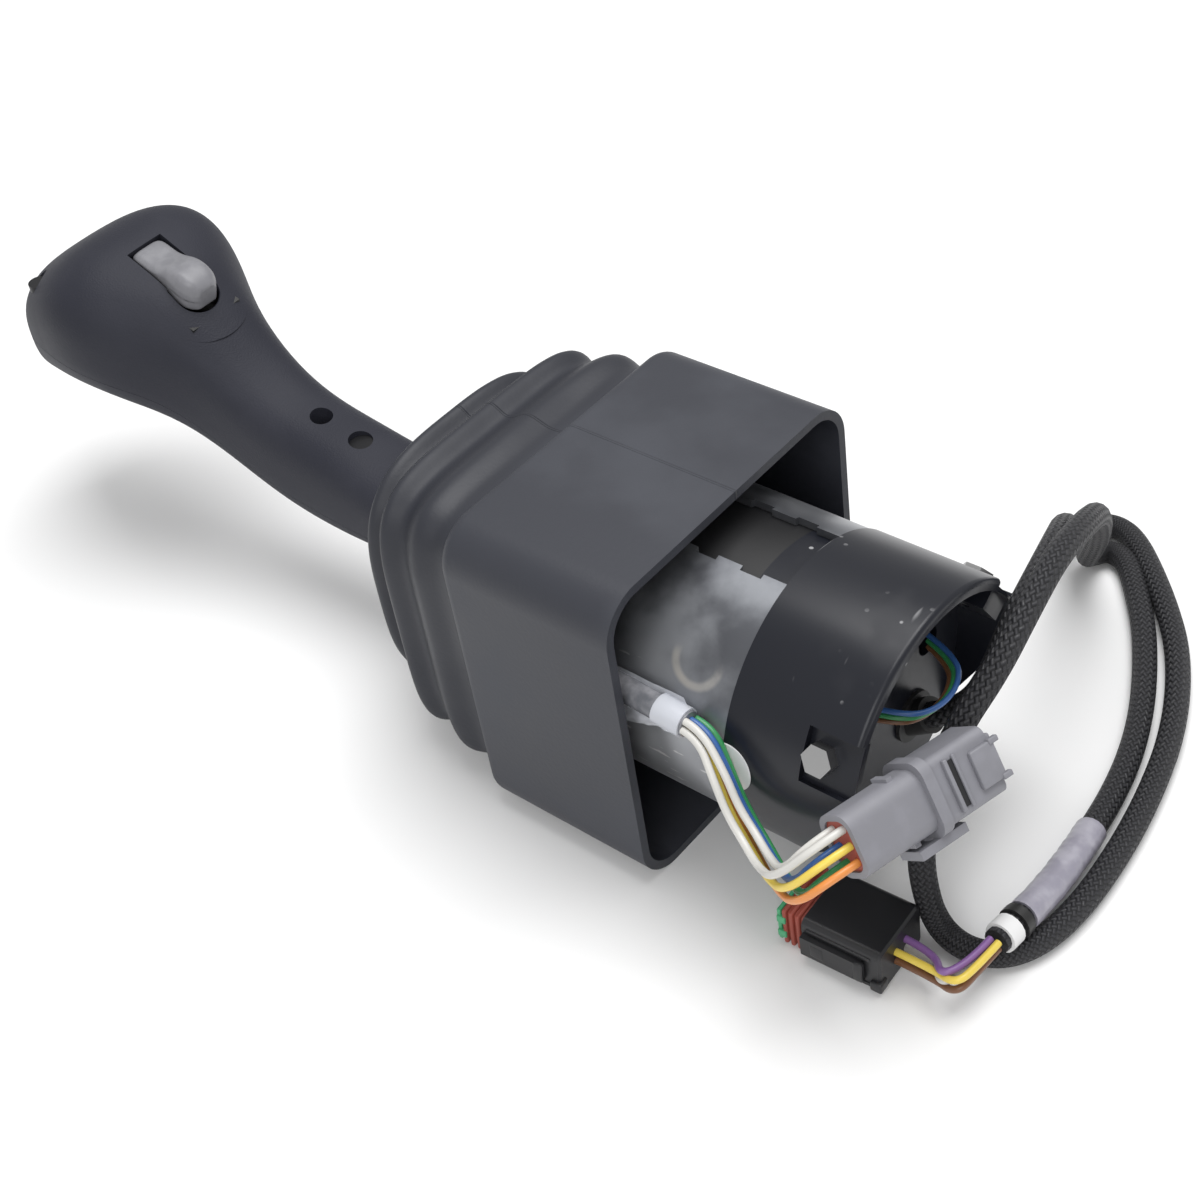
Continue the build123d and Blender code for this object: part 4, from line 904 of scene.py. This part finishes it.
def jacket(node, start, stop, size, uneven=0.0):
    """A round sleeve over the cable between two lengths back from its end."""
    curve = round_curve(node + "_jacket", size, 6)
    places = tail_line(CABLE_ROUTE, start, stop)
    spline = curve.splines.new("POLY")
    spline.points.add(len(places) - 1)
    for index, (point, place) in enumerate(zip(spline.points, places)):
        point.co = (*place, 1.0)
        point.radius = 1.0 + uneven * sin(index * 0.9) * sin(index * 0.37)
    return show_curve(curve, node)


def lead(node, points, size):
    """A round lead along a route, in place of its CAD piece."""
    curve = round_curve(node + "_lead", size, 5)
    spline = curve.splines.new("NURBS")
    spline.points.add(len(points) - 1)
    for point, place in zip(spline.points, points):
        point.co = (*row(*place), 1.0)
    spline.order_u = 3
    spline.use_endpoint_u = True
    spline.resolution_u = 14
    piece = show_curve(curve, node)
    drawn_length(points)


def cable_lead():
    """Braided cable: out of the cap, twice round on the bench, back to the plug."""
    jackets = [jacket("label_band", 1.0, 6.0, 8.2), jacket("shrink_tube", 6.0, 10.5, 8.6),
               jacket("shrink_sleeve", 10.5, 47.0, 8.0, 0.025)]
    lead("braided_cable", CABLE_ROUTE, CABLE_SIZE)


def plug_leads():
    """Four wires out of the cable's end, two above and two below, into the black plug."""
    end = Vector(CABLE_ROUTE[-1])
    ahead = (end - Vector(CABLE_ROUTE[-2])).normalized()
    inward, across = plug_place.outward, plug_place.first
    places = [(along, up) for up in (-1.6, 1.6) for along in (-2.24, 2.24)]
    names = ("plug_wire_brown", "plug_wire_white", "plug_wire_yellow", "plug_wire_purple")
    for name, (along, up) in zip(names, places):
        aside = -along * 0.46
        first = end + ahead * 0.75 + Vector((aside, 0, up * 0.66))
        last = BLACK_PLUG_PLACE + inward * 26.0 + across * along + Vector((0, 0, up))
        points = [first, first + Vector((-0.3, -8.0, 0.4)),
                  first + Vector((-2.5 + aside, -16.0, up / 2)),
                  last + inward * (12.0 + aside), last]
        lead(name, points, PLUG_WIRE_SIZE)


def handle_leads():
    """Clear sleeve along the tube, and the six wires from its end to the grey connector."""
    lead("clear_sleeve", SLEEVE_ROUTE, SLEEVE_SIZE)
    ahead = (Vector(SLEEVE_ROUTE[-1]) - Vector(SLEEVE_ROUTE[-2])).normalized()
    start = Vector(SLEEVE_ROUTE[-1]) + ahead * 0.1
    face = SEAL_PLACE + SEAL_AXIS * 2.0
    middle = [start, start + ahead * 5.0, Vector((26.0, -43.0, 8.0)),
              Vector((31.0, -45.0, 0.0)), Vector((38.0, -47.5, -5.0)),
              Vector((47.0, -53.0, -4.5)), Vector((56.0, -59.0, 3.0)),
              face - SEAL_AXIS * 9.0, face]
    spread = (0.56, 0.6, 0.8, 0.85, 0.9, 0.9, 0.9, 1.0, 1.0)
    names = ("wire_white_1", "wire_yellow", "wire_orange", "wire_white_2", "wire_blue",
             "wire_green")
    grid = [(column, level) for level in (-0.5, 0.5) for column in (-1, 0, 1)]
    for name, (column, level) in zip(names, grid):
        points = []
        wide = grey_place.first
        for index in range(len(middle) - 1, -1, -1):
            run = 0 if index < 2 else min(index, len(middle) - 2)
            along = (middle[run + 1] - middle[run]).normalized()
            wide = (wide - along * wide.dot(along)).normalized()
            high = along.cross(wide)
            aside = wide * column * 4.0 + high * level * 3.8
            points.insert(0, middle[index] + aside * spread[index])
        lead(name, points, HANDLE_WIRE_SIZE)


# Where the cap's floor lies, past the rim of the boot
CAP_FLOOR = 39.5


def cap_leads():
    """Three thin wires that loop out of the cap's floor and back."""
    for number, name in enumerate(("cap_wire_brown", "cap_wire_green", "cap_wire_blue")):
        level = 1.0 + 2.0 * number
        reach = 12.0 + 1.5 * number
        points = [(CAP_FLOOR, 22.0, level), (CAP_FLOOR + reach * 0.7, 19.0, level),
                  (CAP_FLOOR + reach, 12.0, level - 1.0), (CAP_FLOOR + reach, 3.0, level - 1.0),
                  (CAP_FLOOR + reach * 0.7, -4.0, level), (CAP_FLOOR, -6.0, level)]
        lead(name, points, CAP_WIRE_SIZE)


cable_lead()
plug_leads()
handle_leads()
cap_leads()

# Round blank sticker on the side of the tube
STICKER_RADIUS = 6.6
STICKER_PLACE = (24.0, -38.0, 4.0)
STICKER_PAPER = 0.12


def round_sticker():
    """A thin disc laid on the tube's round side: a grid, drawn round and bent."""
    along, side, front = STICKER_PLACE
    bearing = atan2(side, front)
    shape = bmesh.new()
    bmesh.ops.create_grid(shape, x_segments=32, y_segments=32, size=1.0)
    for vertex in shape.verts:
        u, v = vertex.co.x, vertex.co.y
        across = u * (1 - v * v / 2) ** 0.5 * STICKER_RADIUS
        around = v * (1 - u * u / 2) ** 0.5 * STICKER_RADIUS
        angle = bearing + around / STICKER_OUT
        vertex.co = row(along + across, STICKER_OUT * sin(angle), STICKER_OUT * cos(angle))
    bmesh.ops.recalc_face_normals(shape, faces=shape.faces)
    turn_out(shape, first_face(shape), Vector((0, sin(bearing), cos(bearing))))
    for face in shape.faces:
        face.smooth = True
    piece = show("round_sticker", to_mesh("round_sticker", shape), "base", "label_white")
    paper = piece.modifiers.new("paper", "SOLIDIFY")
    paper.thickness = STICKER_PAPER / 1000
    paper.offset = 1.0


round_sticker()

# Floor, light and white surroundings, in metres
FLOOR_HALF = 6.0
GLOW, WHITE_LEVEL = 0.55, 1.0


def white_floor():
    """A wide floor, almost white, under the stick."""
    shape = bmesh.new()
    bmesh.ops.create_grid(shape, x_segments=1, y_segments=1, size=FLOOR_HALF)
    mesh = to_mesh("floor", shape)
    mesh.materials.append(plain("floor", (0.86, 0.86, 0.86), 0.9))
    made = bpy.data.objects.new("floor", mesh)
    bpy.context.scene.collection.objects.link(made)
    return made


def soft_light(name, place, target, size, power):
    """A square soft light over the bench."""
    data = bpy.data.lights.new(name, "AREA")
    data.shape = "SQUARE"
    data.size = size
    data.energy = power
    lamp = bpy.data.objects.new(name, data)
    bpy.context.scene.collection.objects.link(lamp)
    lamp.location = place
    lamp.rotation_euler = (Vector(target) - Vector(place)).to_track_quat("-Z", "Y").to_euler()
    return lamp


floor = white_floor()
lamps = [
    soft_light("overhead", (0.1, 0.25, 1.25), (0.0, 0.02, 0.03), 0.9, 15.0),
    soft_light("front", (0.5, -0.9, 0.75), (0.05, 0.0, 0.04), 0.7, 4.5),
]


def surroundings():
    """White behind everything, and a soft even glow on the object."""
    world = bpy.data.worlds.new("surroundings")
    bpy.context.scene.world = world
    world.use_nodes = True
    tree = world.node_tree
    glow = tree.nodes["Background"]
    glow.inputs["Color"].default_value = (1.0, 1.0, 1.0, 1.0)
    glow.inputs["Strength"].default_value = GLOW
    white = tree.nodes.new("ShaderNodeBackground")
    white.inputs["Color"].default_value = (1.0, 1.0, 1.0, 1.0)
    white.inputs["Strength"].default_value = WHITE_LEVEL
    path = tree.nodes.new("ShaderNodeLightPath")
    choose = tree.nodes.new("ShaderNodeMixShader")
    output = tree.nodes["World Output"]
    tree.links.new(path.outputs["Is Camera Ray"], choose.inputs["Fac"])
    tree.links.new(glow.outputs["Background"], choose.inputs[1])
    tree.links.new(white.outputs["Background"], choose.inputs[2])
    tree.links.new(choose.outputs["Shader"], output.inputs["Surface"])


surroundings()
bpy.context.scene.view_settings.view_transform = "Standard"
